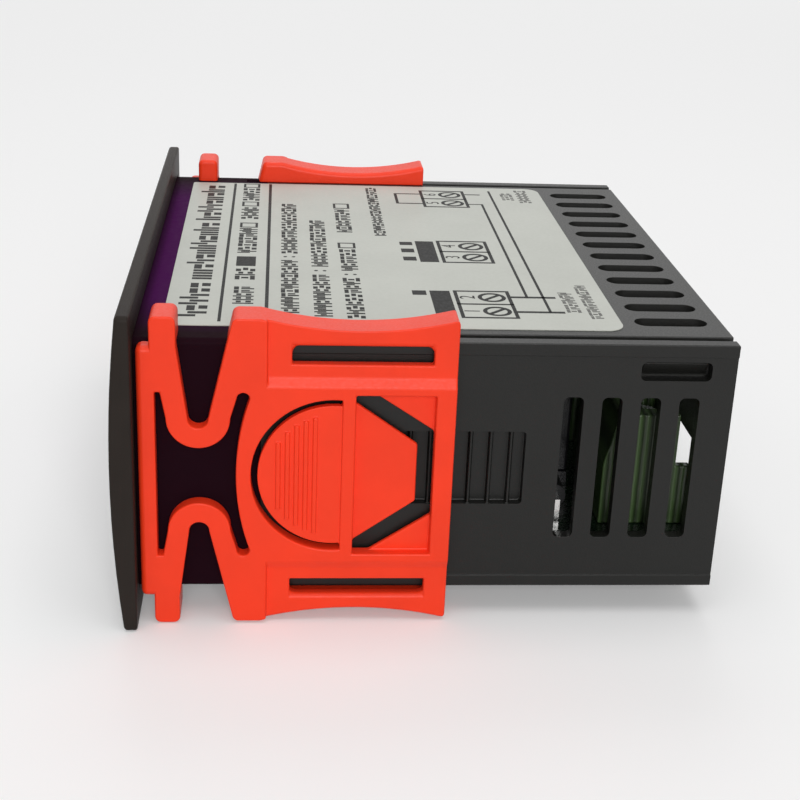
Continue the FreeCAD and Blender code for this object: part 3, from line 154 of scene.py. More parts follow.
class Look:
    """A Principled material under construction, with the textures that feed it."""

    def __init__(self, name, **constants):
        self.material = bpy.data.materials.new(name)
        self.material.use_nodes = True
        self.tree = self.material.node_tree
        self.tree.nodes.clear()
        output = self.tree.nodes.new("ShaderNodeOutputMaterial")
        self.shader = self.tree.nodes.new("ShaderNodeBsdfPrincipled")
        self.tree.links.new(self.shader.outputs["BSDF"], output.inputs["Surface"])
        self.place = self.tree.nodes.new("ShaderNodeTexCoord").outputs["Object"]
        for socket, value in constants.items():
            self.shader.inputs[socket.replace("_", " ")].default_value = value

    def feed(self, socket, source):
        """Link a texture to one of the shader's sockets."""
        self.tree.links.new(source, self.shader.inputs[socket])

    def stretched(self, stretch):
        """The object's coordinates, scaled along each axis."""
        mapping = self.tree.nodes.new("ShaderNodeMapping")
        mapping.inputs["Scale"].default_value = stretch
        self.tree.links.new(self.place, mapping.inputs["Vector"])
        return mapping.outputs["Vector"]

    def noise(self, size, detail=2.0, stretch=None):
        """Cloudy texture whose features have about the given size."""
        node = self.tree.nodes.new("ShaderNodeTexNoise")
        node.inputs["Scale"].default_value = 1 / size
        node.inputs["Detail"].default_value = detail
        self.tree.links.new(self.stretched(stretch) if stretch else self.place, node.inputs["Vector"])
        return node.outputs["Fac"]

    def bands(self, pitch, axis, blur=0.0):
        """Stripes across an axis."""
        node = self.tree.nodes.new("ShaderNodeTexWave")
        node.bands_direction = axis
        node.inputs["Scale"].default_value = WAVE_TURN / pitch
        node.inputs["Distortion"].default_value = blur
        self.tree.links.new(self.place, node.inputs["Vector"])
        return node.outputs["Fac"]

    def along(self, axis):
        """Place along one of the object's axes."""
        node = self.tree.nodes.new("ShaderNodeSeparateXYZ")
        self.tree.links.new(self.place, node.inputs["Vector"])
        return node.outputs[axis]

    def reckon(self, operation, first, second=0.0):
        """A number worked out from one or two others."""
        node = self.tree.nodes.new("ShaderNodeMath")
        node.operation = operation
        for socket, value in zip(node.inputs, (first, second)):
            if isinstance(value, float):
                socket.default_value = value
            else:
                self.tree.links.new(value, socket)
        return node.outputs["Value"]

    def between(self, factor, low, high, start=NOISE_RANGE[0], end=NOISE_RANGE[1]):
        """A number that follows a texture from low to high."""
        node = self.tree.nodes.new("ShaderNodeMapRange")
        node.inputs["From Min"].default_value = start
        node.inputs["From Max"].default_value = end
        node.inputs["To Min"].default_value = low
        node.inputs["To Max"].default_value = high
        self.tree.links.new(factor, node.inputs["Value"])
        return node.outputs["Result"]

    def tint(self, factor, low, high, start=NOISE_RANGE[0], end=NOISE_RANGE[1]):
        """A colour that follows a texture from one colour to another."""
        node = self.tree.nodes.new("ShaderNodeValToRGB")
        node.color_ramp.elements[0].position = start
        node.color_ramp.elements[0].color = low
        node.color_ramp.elements[1].position = end
        node.color_ramp.elements[1].color = high
        self.tree.links.new(factor, node.inputs["Fac"])
        return node.outputs["Color"]

    def shade(self, factor, colour, low, high, *limits):
        """A colour that a texture makes darker or lighter, by a factor from low to high."""
        return self.tint(factor, light(colour, low), light(colour, high), *limits)

    def mixed(self, factor, colour, other):
        """A fixed colour that gives way to another one."""
        node = self.tree.nodes.new("ShaderNodeMix")
        node.data_type = "RGBA"
        share, first, second = (s for s in node.inputs if not s.is_unavailable)
        first.default_value = colour
        self.tree.links.new(factor, share)
        self.tree.links.new(other, second)
        return next(s for s in node.outputs if not s.is_unavailable)

    def bump(self, height, depth, under=None):
        """A rough surface whose features are depth deep."""
        node = self.tree.nodes.new("ShaderNodeBump")
        node.inputs["Distance"].default_value = depth
        self.tree.links.new(height, node.inputs["Height"])
        if under:
            self.tree.links.new(under, node.inputs["Normal"])
        return node.outputs["Normal"]


def moulded(name, colour, rough=0.45, grain=0.22, depth=0.012, drift=0.07, **constants):
    """Moulded plastic: a spark-eroded grain, with faint changes of shade and gloss."""
    look = Look(name, **constants)
    clouds = look.noise(5 * MM, detail=4.0)
    fine = look.noise(grain * MM, detail=3.0)
    look.feed("Base Color", look.shade(clouds, colour, 1 - drift, 1 + drift))
    look.feed("Roughness", look.between(fine, rough - 0.07, rough + 0.07))
    look.feed("Normal", look.bump(fine, depth * MM))
    return look.material


def glossy(name, colour, rough=0.16, **constants):
    """Polished plastic or lacquer, with the slight waves of a moulded skin."""
    look = Look(name, **constants)
    waves = look.noise(3 * MM, detail=2.0)
    smears = look.noise(1.2 * MM, detail=5.0)
    look.feed("Base Color", look.shade(waves, colour, 0.9, 1.1))
    look.feed("Roughness", look.between(smears, rough - 0.05, rough + 0.08))
    look.feed("Normal", look.bump(waves, 0.02 * MM))
    return look.material


def metal(name, colour, rough=0.28, stretch=(1, 1, 1), size=0.3):
    """Plated metal with fine draw marks along the axis that is stretched least."""
    look = Look(name, Metallic=1.0)
    marks = look.noise(size * MM, detail=4.0, stretch=stretch)
    look.feed("Base Color", look.shade(marks, colour, 0.82, 1.08))
    look.feed("Roughness", look.between(marks, rough - 0.1, rough + 0.12))
    look.feed("Normal", look.bump(marks, 0.006 * MM))
    return look.material


def printed_film():
    """Label stock: a satin film with a faint orange peel and a hint of soiling."""
    look = Look("label_film", Specular_IOR_Level=0.25)
    clouds = look.noise(9 * MM, detail=5.0)
    peel = look.noise(0.5 * MM, detail=2.0)
    look.feed("Base Color", look.shade(clouds, LABEL_GREY, 0.955, 1.035))
    look.feed("Roughness", look.between(peel, 0.36, 0.48))
    look.feed("Normal", look.bump(peel, 0.004 * MM))
    return look.material


def ink(name, colour):
    """Screen ink, a little uneven in cover."""
    look = Look(name, Specular_IOR_Level=0.1)
    cover = look.noise(0.35 * MM, detail=4.0)
    look.feed("Base Color", look.shade(cover, colour, 0.85, 1.3))
    look.feed("Roughness", look.between(cover, 0.4, 0.55))
    return look.material


# The collar has painted light at its upper and lower edge, and painted shade next to the bezel and at
# its ends
EDGE_PAINTED_LIGHT = (12.7 * MM, 14.4 * MM)
BEZEL_SHADE = (-0.5 * MM, 1.0 * MM)
END_SHADE = (22.0 * MM, 33.0 * MM)
# The clear pane: its reach from the middle, the share of that where it ends, and its polished skin
PANE_REACH = {"X": 33.0 * MM, "Z": 12.0 * MM}
PANE_RIM = (0.99, 1.0)
PANE_SKIN = (-0.7 * MM, -0.6 * MM)


def violet_shell():
    """Deep violet moulding: matt at its collar, nearly black in painted shade and violet in painted
    light at its upper and lower edge; clear and polished at its pane.
    """
    look = Look("shell_violet", IOR=1.1, Specular_IOR_Level=0.0, Coat_Roughness=0.06)
    shares = [look.reckon("DIVIDE", look.reckon("ABSOLUTE", look.along(axis)), reach)
              for axis, reach in PANE_REACH.items()]
    outward = look.reckon("MAXIMUM", *shares)
    waves = look.noise(4 * MM, detail=3.0)
    smears = look.noise(0.8 * MM, detail=4.0)
    # Painted light on the collar's upper and lower edge, and painted shade next to the bezel and at its
    # ends
    edge = look.between(look.reckon("ABSOLUTE", look.along("Z")), 0.0, 1.0, *EDGE_PAINTED_LIGHT)
    clear = look.between(look.along("Y"), 0.0, 1.0, *BEZEL_SHADE)
    middle = look.between(look.reckon("ABSOLUTE", look.along("X")), 1.0, 0.0, *END_SHADE)
    glow_and_painted_light = look.reckon("MULTIPLY", look.reckon("MULTIPLY", edge, clear), middle)
    collar = look.tint(glow_and_painted_light, light(SHELL_PAINTED_SHADE_VIOLET), light(SHELL_PAINTED_LIGHT_VIOLET), 0.0, 1.0)
    rim = look.between(outward, 0.0, 1.0, *PANE_RIM)
    look.feed("Base Color", look.mixed(rim, light(PANE_VIOLET), collar))
    look.feed("Transmission Weight", look.between(outward, 0.9, 0.25, *PANE_RIM))
    matt = look.between(outward, 0.2, 1.0, *PANE_RIM)
    look.feed("Roughness", look.reckon("MULTIPLY", look.between(smears, 0.3, 0.45), matt))
    look.feed("Normal", look.bump(waves, 0.015 * MM))
    look.feed("Coat Weight", look.between(look.along("Y"), 1.0, 0.0, *PANE_SKIN))
    return look.material


def ribbed_green():
    """Terminal plastic with upright ridges, and stripes of painted light and shade along them in its
    colour.
    """
    look = Look("terminal_green")
    ribs_and_painted_stripes = look.bands(0.9 * MM, "Y", blur=0.6)
    fine = look.noise(0.22 * MM, detail=3.0)
    # The stripes in the colour are painted light and shade, along the ridges
    look.feed("Base Color", look.shade(ribs_and_painted_stripes, TERMINAL_GREEN, 0.4, 1.25, 0.1, 0.9))
    look.feed("Roughness", look.between(fine, 0.28, 0.42))
    look.feed("Normal", look.bump(ribs_and_painted_stripes, 0.1 * MM, look.bump(fine, 0.006 * MM)))
    return look.material


def lacquered_board():
    """Circuit board: solder lacquer over tracks, which show as ridges and a change of green."""
    look = Look("board_green", IOR=1.5)
    tracks = look.bands(2.2 * MM, "DIAGONAL", blur=6.0)
    weave = look.noise(0.3 * MM, detail=3.0)
    look.feed("Base Color", look.shade(tracks, BOARD_GREEN, 0.75, 1.25, 0.45, 0.55))
    look.feed("Roughness", look.between(weave, 0.2, 0.36))
    look.feed("Normal", look.bump(tracks, 0.03 * MM, look.bump(weave, 0.004 * MM)))
    return look.material


def laminated_core():
    """Stacked steel sheets, seen on edge."""
    look = Look("core_steel", Metallic=1.0)
    sheets = look.bands(0.5 * MM, "Y")
    scale = look.noise(1.5 * MM, detail=5.0)
    look.feed("Base Color", look.shade(scale, CORE_STEEL, 0.6, 1.1))
    look.feed("Roughness", look.between(scale, 0.34, 0.55))
    look.feed("Normal", look.bump(sheets, 0.06 * MM))
    return look.material


def winding_tape():
    """Glossy tape wound in overlapping turns."""
    look = Look("winding_tape", IOR=1.5)
    turns = look.bands(3.1 * MM, "Z", blur=0.4)
    smears = look.noise(1.0 * MM, detail=4.0)
    look.feed("Base Color", look.shade(turns, TAPE_YELLOW, 0.72, 1.1))
    look.feed("Roughness", look.between(smears, 0.18, 0.34))
    look.feed("Normal", look.bump(turns, 0.05 * MM))
    return look.material


# Each material slot of the part, with its finish and the nodes that wear it
FINISHES = {
    "bezel_grey": (
        moulded("bezel_grey", BEZEL_GREY, rough=0.42, depth=0.006, Specular_IOR_Level=0.04),
        ["front_bezel"],
    ),
    "shell_violet": (violet_shell(), ["front_shell"]),
    "housing_black": (
        moulded("housing_black", HOUSING_BLACK, rough=0.42, Specular_IOR_Level=0.33),
        ["housing"],
    ),
    # The cover's colour is lighter than the housing's as painted light on its top
    "cover_black": (
        moulded("cover_black", COVER_BLACK_PAINTED_LIGHT, rough=0.45, depth=0.02, Specular_IOR_Level=0.4),
        ["top_cover"],
    ),
    "label_grey": (printed_film(), ["rating_label"]),
    "clip_red": (
        moulded("clip_red", CLIP_RED, rough=0.4, grain=0.3, depth=0.008, drift=0.035,
                Specular_IOR_Level=0.25),
        ["right_clip", "left_clip"],
    ),
    "terminal_green": (
        ribbed_green(),
        ["load_terminal", "sensor_terminal", "power_terminal"],
    ),
    "button_grey": (
        moulded("button_grey", BUTTON_GREY, rough=0.4),
        ["set_button", "up_button", "power_button", "down_button"],
    ),
    "switch_black": (moulded("switch_black", SWITCH_BLACK), ["tact_switches"]),
    "plunger_white": (
        moulded("plunger_white", PLUNGER_WHITE),
        ["set_plunger", "up_plunger", "power_plunger", "down_plunger"],
    ),
    "board_green": (lacquered_board(), ["display_board", "main_board"]),
    "display_grey": (moulded("display_grey", DISPLAY_GREY, rough=0.5), ["led_display"]),
    "lamp_red": (glossy("lamp_red", LAMP_RED, Transmission_Weight=0.5), ["indicator_leds"]),
    "chip_black": (
        moulded("chip_black", CHIP_BLACK, rough=0.55),
        ["control_chip", "regulator", "buzzer", "header_strip", "rectifier_diodes"],
    ),
    "pin_gold": (metal("pin_gold", PIN_GOLD, stretch=(1, 8, 8)), ["header_pins"]),
    "core_steel": (laminated_core(), ["transformer_core"]),
    "bobbin_white": (moulded("bobbin_white", BOBBIN_WHITE, rough=0.4), ["transformer_bobbin"]),
    "winding_tape": (winding_tape(), ["transformer_winding"]),
    "relay_black": (glossy("relay_black", RELAY_BLACK), ["relay_case", "relay_base"]),
    "can_black": (glossy("can_black", CAN_BLACK, rough=0.24), ["filter_capacitor", "output_capacitor"]),
    "tinned_wire": (metal("tinned_wire", TINNED, rough=0.2), ["diode_leads"]),
    "varistor_blue": (glossy("varistor_blue", VARISTOR_BLUE), ["varistor"]),
    "screw_steel": (metal("screw_steel", SCREW_STEEL), ["terminal_clamps", "terminal_screws"]),
}

# How the sharp edges of each moulding are rounded, in millimetres
EDGE_ROUND = {
    "right_clip": 0.2,
    "left_clip": 0.2,
    "front_bezel": 0.4,
    "housing": 0.14,
    "top_cover": 0.14,
    "front_shell": 0.12,
    "load_terminal": 0.2,
    "sensor_terminal": 0.2,
    "power_terminal": 0.2,
    "relay_case": 0.35,
    "led_display": 0.2,
    "tact_switches": 0.2,
    "header_strip": 0.15,
    "control_chip": 0.15,
    "transformer_bobbin": 0.15,
    "transformer_winding": 0.5,
    "rating_label": 0.03,
    "set_button": 0.3,
    "up_button": 0.3,
    "power_button": 0.3,
    "down_button": 0.3,
}
# The clips' flanges, which lie further than this above or below the middle, are rounder
CLIP_FLANGE_ROUND = 0.7
CLIP_FLANGE_Z = 14.0 * MM
# Points that are closer are joined, and so are faces with a smaller turn between them
WELD = 1e-6
FLAT_TURN = math.radians(0.6)
# Edges with a larger turn are rounded, in a number of steps
SHARP_TURN = math.radians(24)
BEVEL_STEPS = 3
# The share of the room beside an edge that its rounding may take. An edge that joins it and isn't
# rounded itself counts for nearly twice its length
ROOM_SHARE = 0.46
SOFT_SHARE = 1.9
# Where along an edge its room is measured, and how squarely an edge opposite has to face it
EDGE_SAMPLES = (0.08, 0.5, 0.92)
FACING = -0.3
# How thick a film of ink is, in millimetres
INK_FILM = 0.012


def welded(node):
    """The node's mesh again, with its points joined and its flat faces whole."""
    source = nodes[node].data
    work = bmesh.new()
    points = [work.verts.new(v.co) for v in source.vertices]
    for face in source.polygons:
        work.faces.new([points[i] for i in face.vertices])
    bmesh.ops.remove_doubles(work, verts=work.verts, dist=WELD)
    bmesh.ops.dissolve_limit(work, angle_limit=FLAT_TURN, verts=work.verts, edges=work.edges)
    work.edges.ensure_lookup_table()
    return work


def is_sharp(edge):
    """True where two faces meet at a corner."""
    return len(edge.link_faces) == 2 and edge.calc_face_angle(0.0) > SHARP_TURN


def inward(edge, face):
    """The direction in a face that leads away from one of its edges."""
    loop = next(corner for corner in edge.link_loops if corner.face == face)
    run = loop.link_loop_next.vert.co - loop.vert.co
    return face.normal.cross(run).normalized()


def segment_distance(point, edge):
    """Distance from a point to an edge."""
    start, end = (v.co for v in edge.verts)
    run = end - start
    share = max(0.0, min(1.0, (point - start).dot(run) / run.length_squared))
    return (point - start - run * share).length


def runs_on(first, second, corner):
    """True where two edges meet at a corner nearly in line."""
    ahead = first.other_vert(corner).co - corner.co
    back = second.other_vert(corner).co - corner.co
    return ahead.angle(back) > math.pi - SHARP_TURN


def room(edge):
    """How far an edge can be cut back before it meets what lies across its two faces."""
    start, end = (v.co for v in edge.verts)
    samples = [start.lerp(end, share) for share in EDGE_SAMPLES]
    least = float("inf")
    for face in edge.link_faces:
        ahead = inward(edge, face)
        for other in face.edges:
            if other == edge:
                continue
            shared = set(other.verts) & set(edge.verts)
            if not shared and inward(other, face).dot(ahead) < FACING:
                least = min(least, min(segment_distance(p, other) for p in samples))
            elif shared and not runs_on(edge, other, shared.pop()):
                least = min(least, other.calc_length() * (1 if is_sharp(other) else SOFT_SHARE))
    return least * ROOM_SHARE


def wanted_round(node, edge):
    """The radius, in metres, that an edge of this node should have."""
    radius = EDGE_ROUND[node]
    if node.endswith("clip") and all(abs(v.co.z) > CLIP_FLANGE_Z for v in edge.verts):
        radius = CLIP_FLANGE_ROUND
    return radius * MM


def evened(work, radii):
    """The radii again, with one value for each row of edges that run on from one another."""
    rows = {index: {index} for index, radius in enumerate(radii) if radius > 0}
    for corner in work.verts:
        meeting = [e for e in corner.link_edges if radii[e.index] > 0]
        for first, second in itertools.combinations(meeting, 2):
            row, other = rows[first.index], rows[second.index]
            if row is not other and runs_on(first, second, corner):
                row |= other
                rows.update((index, row) for index in other)
    return [min(radii[i] for i in rows[index]) if index in rows else 0.0 for index in range(len(radii))]


def rounded_copy(node, material):
    """A copy of a moulding with its edges rounded, which stands for the node."""
    work = welded(node)
    if node.endswith("_button"):
        # The cap moves back by the ink's thickness, so that its symbol stays in the solid's box
        bmesh.ops.translate(work, verts=work.verts, vec=(0.0, INK_FILM * MM, 0.0))
    work.edges.index_update()
    radii = [min(wanted_round(node, e), room(e)) if is_sharp(e) else 0.0 for e in work.edges]
    radii = evened(work, radii)
    widest = max(radii)
    mesh = bpy.data.meshes.new(node + "_rounded")
    work.to_mesh(mesh)
    work.free()
    layer = mesh.attributes.new("bevel_weight_edge", "FLOAT", "EDGE")
    layer.data.foreach_set("value", [radius / widest for radius in radii])
    mesh.shade_smooth()
    mesh.set_sharp_from_angle(angle=SHARP_TURN)
    mesh.materials.append(material)
    piece = placed(node + "_rounded", mesh)
    bevel = piece.modifiers.new("edges", "BEVEL")
    bevel.limit_method = "WEIGHT"
    bevel.width = widest
    bevel.segments = BEVEL_STEPS
    bevel.use_clamp_overlap = False
    bevel.loop_slide = False
    bevel.harden_normals = True
    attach(piece, nodes[node]["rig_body"])
    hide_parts(node)


def dress_nodes():
    """Give every node its finish, and rounded edges where it is a moulding."""
    for slot, (material, wearers) in FINISHES.items():
        for node in wearers:
            if node in EDGE_ROUND:
                rounded_copy(node, material)
            else:
                nodes[node].data.materials.clear()
                nodes[node].data.materials.append(material)


# Corners of a full circle
RING_STEPS = 40


class Print:
    """Flat fields of ink or foil, in millimetres, that become one thin piece."""

    def __init__(self):
        self.work = bmesh.new()

    def field(self, corners):
        """A filled outline."""
        self.work.faces.new([self.work.verts.new((x, y, 0.0)) for x, y in corners])

    def block(self, x, y):
        """A filled rectangle between two places each way."""
        self.field([(x[0], y[0]), (x[1], y[0]), (x[1], y[1]), (x[0], y[1])])

    def line(self, start, end, width):
        """A straight stroke."""
        start, end = Vector(start), Vector(end)
        side = (end - start).orthogonal().normalized() * width / 2
        self.field([start - side, end - side, end + side, start + side])

    def bar(self, start, end, width):
        """A stroke with pointed ends, as in a seven-segment figure."""
        start, end = Vector(start), Vector(end)
        ahead = (end - start).normalized() * width / 2
        side = ahead.orthogonal()
        self.field([start, start + ahead + side, end - ahead + side,
                    end, end - ahead - side, start + ahead - side])

    def frame(self, x, y, width):
        """A rectangle's outline, drawn inside its edges."""
        for low in (y[0], y[1] - width):
            self.block(x, (low, low + width))
        for left in (x[0], x[1] - width):
            self.block((left, left + width), (y[0] + width, y[1] - width))

    def ring(self, centre, radius, width, start=0.0, turn=2 * math.pi):
        """A circle's outline, or a part of it."""
        angles = [start + turn * step / RING_STEPS for step in range(RING_STEPS + 1)]
        rays = [Vector((math.cos(a), math.sin(a))) for a in angles]
        middle = Vector(centre)
        for ray, following in zip(rays, rays[1:]):
            inner = radius - width
            self.field([middle + ray * inner, middle + ray * radius,
                        middle + following * radius, middle + following * inner])

    def disc(self, centre, radius):
        """A filled circle."""
        x, y = centre
        angles = [2 * math.pi * step / RING_STEPS for step in range(RING_STEPS)]
        self.field([(x + radius * math.cos(a), y + radius * math.sin(a)) for a in angles])

    def figure(self, digit, centre, size):
        """A plain number in the built-in font, with its foot away from the front."""
        curve = bpy.data.curves.new("figure", "FONT")
        curve.body = str(digit)
        curve.size = size
        curve.align_x = "CENTER"
        curve.align_y = "CENTER"
        holder = bpy.data.objects.new("figure", curve)
        mesh = bpy.data.meshes.new_from_object(holder)
        mesh.transform(Matrix.Translation((*centre, 0.0)) @ Matrix.Rotation(math.pi, 4, "Z"))
        self.work.from_mesh(mesh)
        bpy.data.objects.remove(holder)

    def marks(self, chance, strokes, y, pitch, words):
        """A line of print: each word is a run of strokes that form no letters."""
        for start, end in words:
            count = round((start - end) / pitch)
            cell = (start - end) / count
            for number in range(count):
                corner = start - cell * number
                for left, top, right, foot in chance.choice(strokes):
                    self.block((corner - cell * right, corner - cell * left),
                               (y[0] + (y[1] - y[0]) * top, y[0] + (y[1] - y[0]) * foot))

    def piece(self, name, place, body, slot, material):
        """The fields as one thin film, put in place and riding on a body."""
        for face in self.work.faces:
            face.normal_update()
            if face.normal.z < 0:
                face.normal_flip()
        bmesh.ops.transform(self.work, matrix=place @ Matrix.Scale(MM, 4), verts=self.work.verts)
        mesh = bpy.data.meshes.new(name)
        self.work.to_mesh(mesh)
        self.work.free()
        mesh.materials.append(material)
        film = placed(name, mesh)
        depth = film.modifiers.new("film", "SOLIDIFY")
        depth.thickness = INK_FILM * MM
        depth.offset = 1.0
        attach(film, body)


# Strokes of the marks that stand for words: left, top, right and foot in a cell of size 1
STROKES = [
    [(0.06, 0.00, 0.34, 1.00), (0.46, 0.16, 0.92, 0.40), (0.46, 0.62, 0.92, 0.88)],
    [(0.06, 0.02, 0.92, 0.26), (0.18, 0.38, 0.48, 1.00), (0.62, 0.38, 0.90, 0.80)],
    [(0.04, 0.00, 0.30, 0.66), (0.38, 0.20, 0.64, 1.00), (0.70, 0.00, 0.96, 0.66)],
    [(0.06, 0.02, 0.66, 0.28), (0.32, 0.38, 0.94, 0.64), (0.06, 0.74, 0.66, 1.00)],
    [(0.06, 0.00, 0.94, 0.24), (0.32, 0.32, 0.68, 0.68), (0.06, 0.76, 0.94, 1.00)],
    [(0.04, 0.00, 0.32, 1.00), (0.40, 0.34, 0.62, 0.66), (0.70, 0.16, 0.96, 1.00)],
]
BOLD_STROKES = [
    [(0.06, 0.00, 0.40, 1.00), (0.54, 0.30, 0.90, 1.00)],
    [(0.06, 0.30, 0.40, 1.00), (0.54, 0.30, 0.90, 1.00)],
    [(0.06, 0.28, 0.90, 0.54), (0.06, 0.72, 0.90, 1.00)],
    [(0.06, 0.00, 0.40, 0.64), (0.54, 0.36, 0.90, 1.00)],
    [(0.06, 0.30, 0.90, 0.58), (0.34, 0.70, 0.90, 1.00)],
]

# The label's print in millimetres: X is across, Y is along the depth, and words read towards -X.
# Rows: front and back edge, width of a mark, and the ends of each word
HEADING = ((3.9, 7.1), 2.0, [(28.3, 16.3), (15.2, -9.3), (-10.4, -29.2)])
LABEL_ROWS = [
    ((9.7, 12.0), 1.4, [(23.8, 17.5), (15.0, 10.2), (4.2, -7.0), (-11.4, -17.5), (-21.0, -28.0)]),
    ((15.0, 17.0), 1.4, [(26.7, 6.9), (4.2, -19.7)]),
    ((18.6, 20.6), 1.4, [(27.7, 12.5), (9.4, -11.4)]),
    ((22.1, 24.1), 1.4, [(28.2, 13.6), (10.9, 1.8), (-5.8, -17.2)]),
    ((26.9, 28.4), 1.2, [(-4.5, -29.7)]),
]
SMALL_ROWS = [
    ((46.5, 48.1), 1.1, [(25.2, 18.0)]),
    ((48.8, 50.2), 1.1, [(27.3, 15.2)]),
    ((46.0, 47.7), 1.1, [(-24.0, -28.0)]),
    ((48.3, 50.0), 1.1, [(-22.7, -29.8)]),
]
# Empty boxes for ticks: their ends across, and their front and back edge
TICK_BOXES = [
    ((-9.6, -7.3), (9.7, 12.0)),
    ((-20.4, -18.0), (9.7, 12.0)),
    ((-30.5, -28.3), (9.7, 12.0)),
    ((-1.0, 1.4), (22.0, 24.2)),
    ((-20.3, -17.7), (22.0, 24.2)),
]
# Colons: their places, how far their dots are from the middle, and the radius of a dot
COLONS = [(5.5, 16.0), (11.0, 19.6), (12.3, 23.1)]
COLON_HALF = 0.5
COLON_DOT = 0.22
# Rules: their ends, their place and their width
RULES = [((-30.5, 29.7), 8.5, 0.35), ((-30.5, 29.0), 13.45, 0.4)]
# A dark block in the first row
NAME_BLOCK = ((5.7, 9.6), (9.7, 12.0))
# Terminal pairs: their ends across, the front and back edge of their frames, screws and figures
PAIRS = [(27.5, 17.8), (6.9, -2.7), (-19.5, -28.7)]
PAIR_DEPTH = (34.5, 40.9)
PAIR_SCREW = 38.7
PAIR_FIGURE = 36.0
FIGURE_SIZE = 2.5
SCREW_RADIUS = 1.6
SCREW_SLOT = 0.8
SCREW_LINE = 0.48
FRAME_LINE = 0.42
BOX_LINE = 0.32
# Dark bars in front of two of the pairs, and dashes in front of the bars
BARS = [((18.0, 27.0), (31.8, 34.1)), ((-2.3, 6.7), (31.8, 34.1))]
DASHES = [(18.0, 19.6), (4.6, 6.2), (1.1, 2.7), (-1.9, -0.5)]
DASH_DEPTH = (29.8, 31.4)
# Wiring lines: their ends and width
WIRES = [
    ((25.2, 40.9), (25.2, 46.2), 0.6),
    ((20.0, 40.9), (20.0, 46.0), 0.6),
    ((20.0, 42.75), (-21.4, 42.75), 0.32),
    ((-21.4, 40.9), (-21.4, 42.9), 0.32),
    ((25.2, 44.6), (-29.0, 44.6), 0.32),
    ((-26.8, 40.9), (-26.8, 43.1), 0.4),
    ((-21.3, 31.0), (-21.3, 34.5), 0.4),
    ((-26.6, 31.0), (-26.6, 34.5), 0.4),
    ((-21.1, 31.0), (-26.8, 31.0), 0.4),
]
# Start of the random choice of strokes
PRINT_SEED = 11


def draw_terminals(sheet):
    """Numbered screws in frames, as in a wiring diagram."""
    for pair, (near, far) in enumerate(PAIRS):
        middle = (near + far) / 2
        sheet.frame((far, near), PAIR_DEPTH, FRAME_LINE)
        sheet.line((middle, PAIR_DEPTH[0]), (middle, PAIR_DEPTH[1]), FRAME_LINE)
        for side, screw in enumerate(((near + middle) / 2, (middle + far) / 2)):
            sheet.ring((screw, PAIR_SCREW), SCREW_RADIUS, SCREW_LINE)
            sheet.line((screw - SCREW_SLOT, PAIR_SCREW + SCREW_SLOT),
                       (screw + SCREW_SLOT, PAIR_SCREW - SCREW_SLOT), SCREW_LINE)
            sheet.figure(2 * pair + side + 1, (screw, PAIR_FIGURE), FIGURE_SIZE)


def print_label():
    """The label's print: strokes in place of words, frames, rules and a wiring diagram."""
    sheet = Print()
    chance = random.Random(PRINT_SEED)
    sheet.marks(chance, BOLD_STROKES, *HEADING)
    for row in LABEL_ROWS:
        sheet.marks(chance, STROKES, *row)
    for x, y, width in RULES:
        sheet.block(x, (y - width / 2, y + width / 2))
    for x, y in TICK_BOXES:
        sheet.frame(x, y, BOX_LINE)
    for x, y in COLONS:
        for step in (-COLON_HALF, COLON_HALF):
            sheet.disc((x, y + step), COLON_DOT)
    for x, y in [NAME_BLOCK] + BARS:
        sheet.block(x, y)
    for x in DASHES:
        sheet.block(x, DASH_DEPTH)
    for start, end, width in WIRES:
        sheet.line(start, end, width)
    draw_terminals(sheet)
    top = Matrix.Translation((0.0, 0.0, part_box("rating_label")[1].z))
    sheet.piece("label_print", top, ROOT, "chip_black", ink("print_dark", PRINT_GREY))
    small = Print()
    for row in SMALL_ROWS:
        small.marks(chance, STROKES, *row)
    small.piece("label_small_print", top, ROOT, "chip_black", ink("print_pale", PRINT_PALE))


# Turns a flat drawing to face the front, with its top up
FRONTWARD = Matrix.Rotation(math.pi / 2, 4, "X")

# Key symbols in millimetres: half their width, the width of a bar, and what each one needs
SYMBOL_HALF = 1.4
SYMBOL_BAR = 0.36
ARROW_FOOT = 1.0
POWER_LINE = 0.35
POWER_START = math.radians(125)
POWER_TURN = math.radians(290)
POWER_BAR = (0.3, 1.7)
LIST_LEVELS = (-0.9, 0.0, 0.9)


def draw_arrow(sheet, up):
    """A filled triangle that points up or down."""
    foot = -ARROW_FOOT * up
    sheet.field([(-SYMBOL_HALF, foot), (SYMBOL_HALF, foot), (0.0, SYMBOL_HALF * up)])


def draw_power(sheet):
    """An open ring with a bar in its gap."""
    sheet.ring((0.0, 0.0), SYMBOL_HALF, POWER_LINE, start=POWER_START, turn=POWER_TURN)
    sheet.block((-SYMBOL_BAR / 2, SYMBOL_BAR / 2), POWER_BAR)


def draw_list(sheet):
    """Three bars, for the settings."""
    for level in LIST_LEVELS:
        sheet.block((-SYMBOL_HALF, SYMBOL_HALF), (level - SYMBOL_BAR / 2, level + SYMBOL_BAR / 2))


# The symbol of each key
KEY_MARKS = {
    "set": draw_list,
    "up": lambda sheet: draw_arrow(sheet, 1),
    "power": draw_power,
    "down": lambda sheet: draw_arrow(sheet, -1),
}


def print_keys():
    """A plain symbol on each key's cap."""
    material = ink("key_ink", PRINT_GREY)
    for key, draw in KEY_MARKS.items():
        low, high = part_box(key + "_button")
        middle = (low + high) / 2
        sheet = Print()
        draw(sheet)
        face = Matrix.Translation((middle.x, low.y + INK_FILM * MM, middle.z))
        sheet.piece(key + "_symbol", face @ FRONTWARD, key + "_key", "chip_black", material)


# Three figures of seven segments: half their width and height, their distance apart, the width of a
# segment and the gap at its ends, and how far the point stands to the right
DIGIT_HALF = (2.2, 4.3)
DIGIT_PITCH = 9.0
SEGMENT_WIDTH = 0.9
SEGMENT_GAP = 0.12
POINT_STEP = 1.4


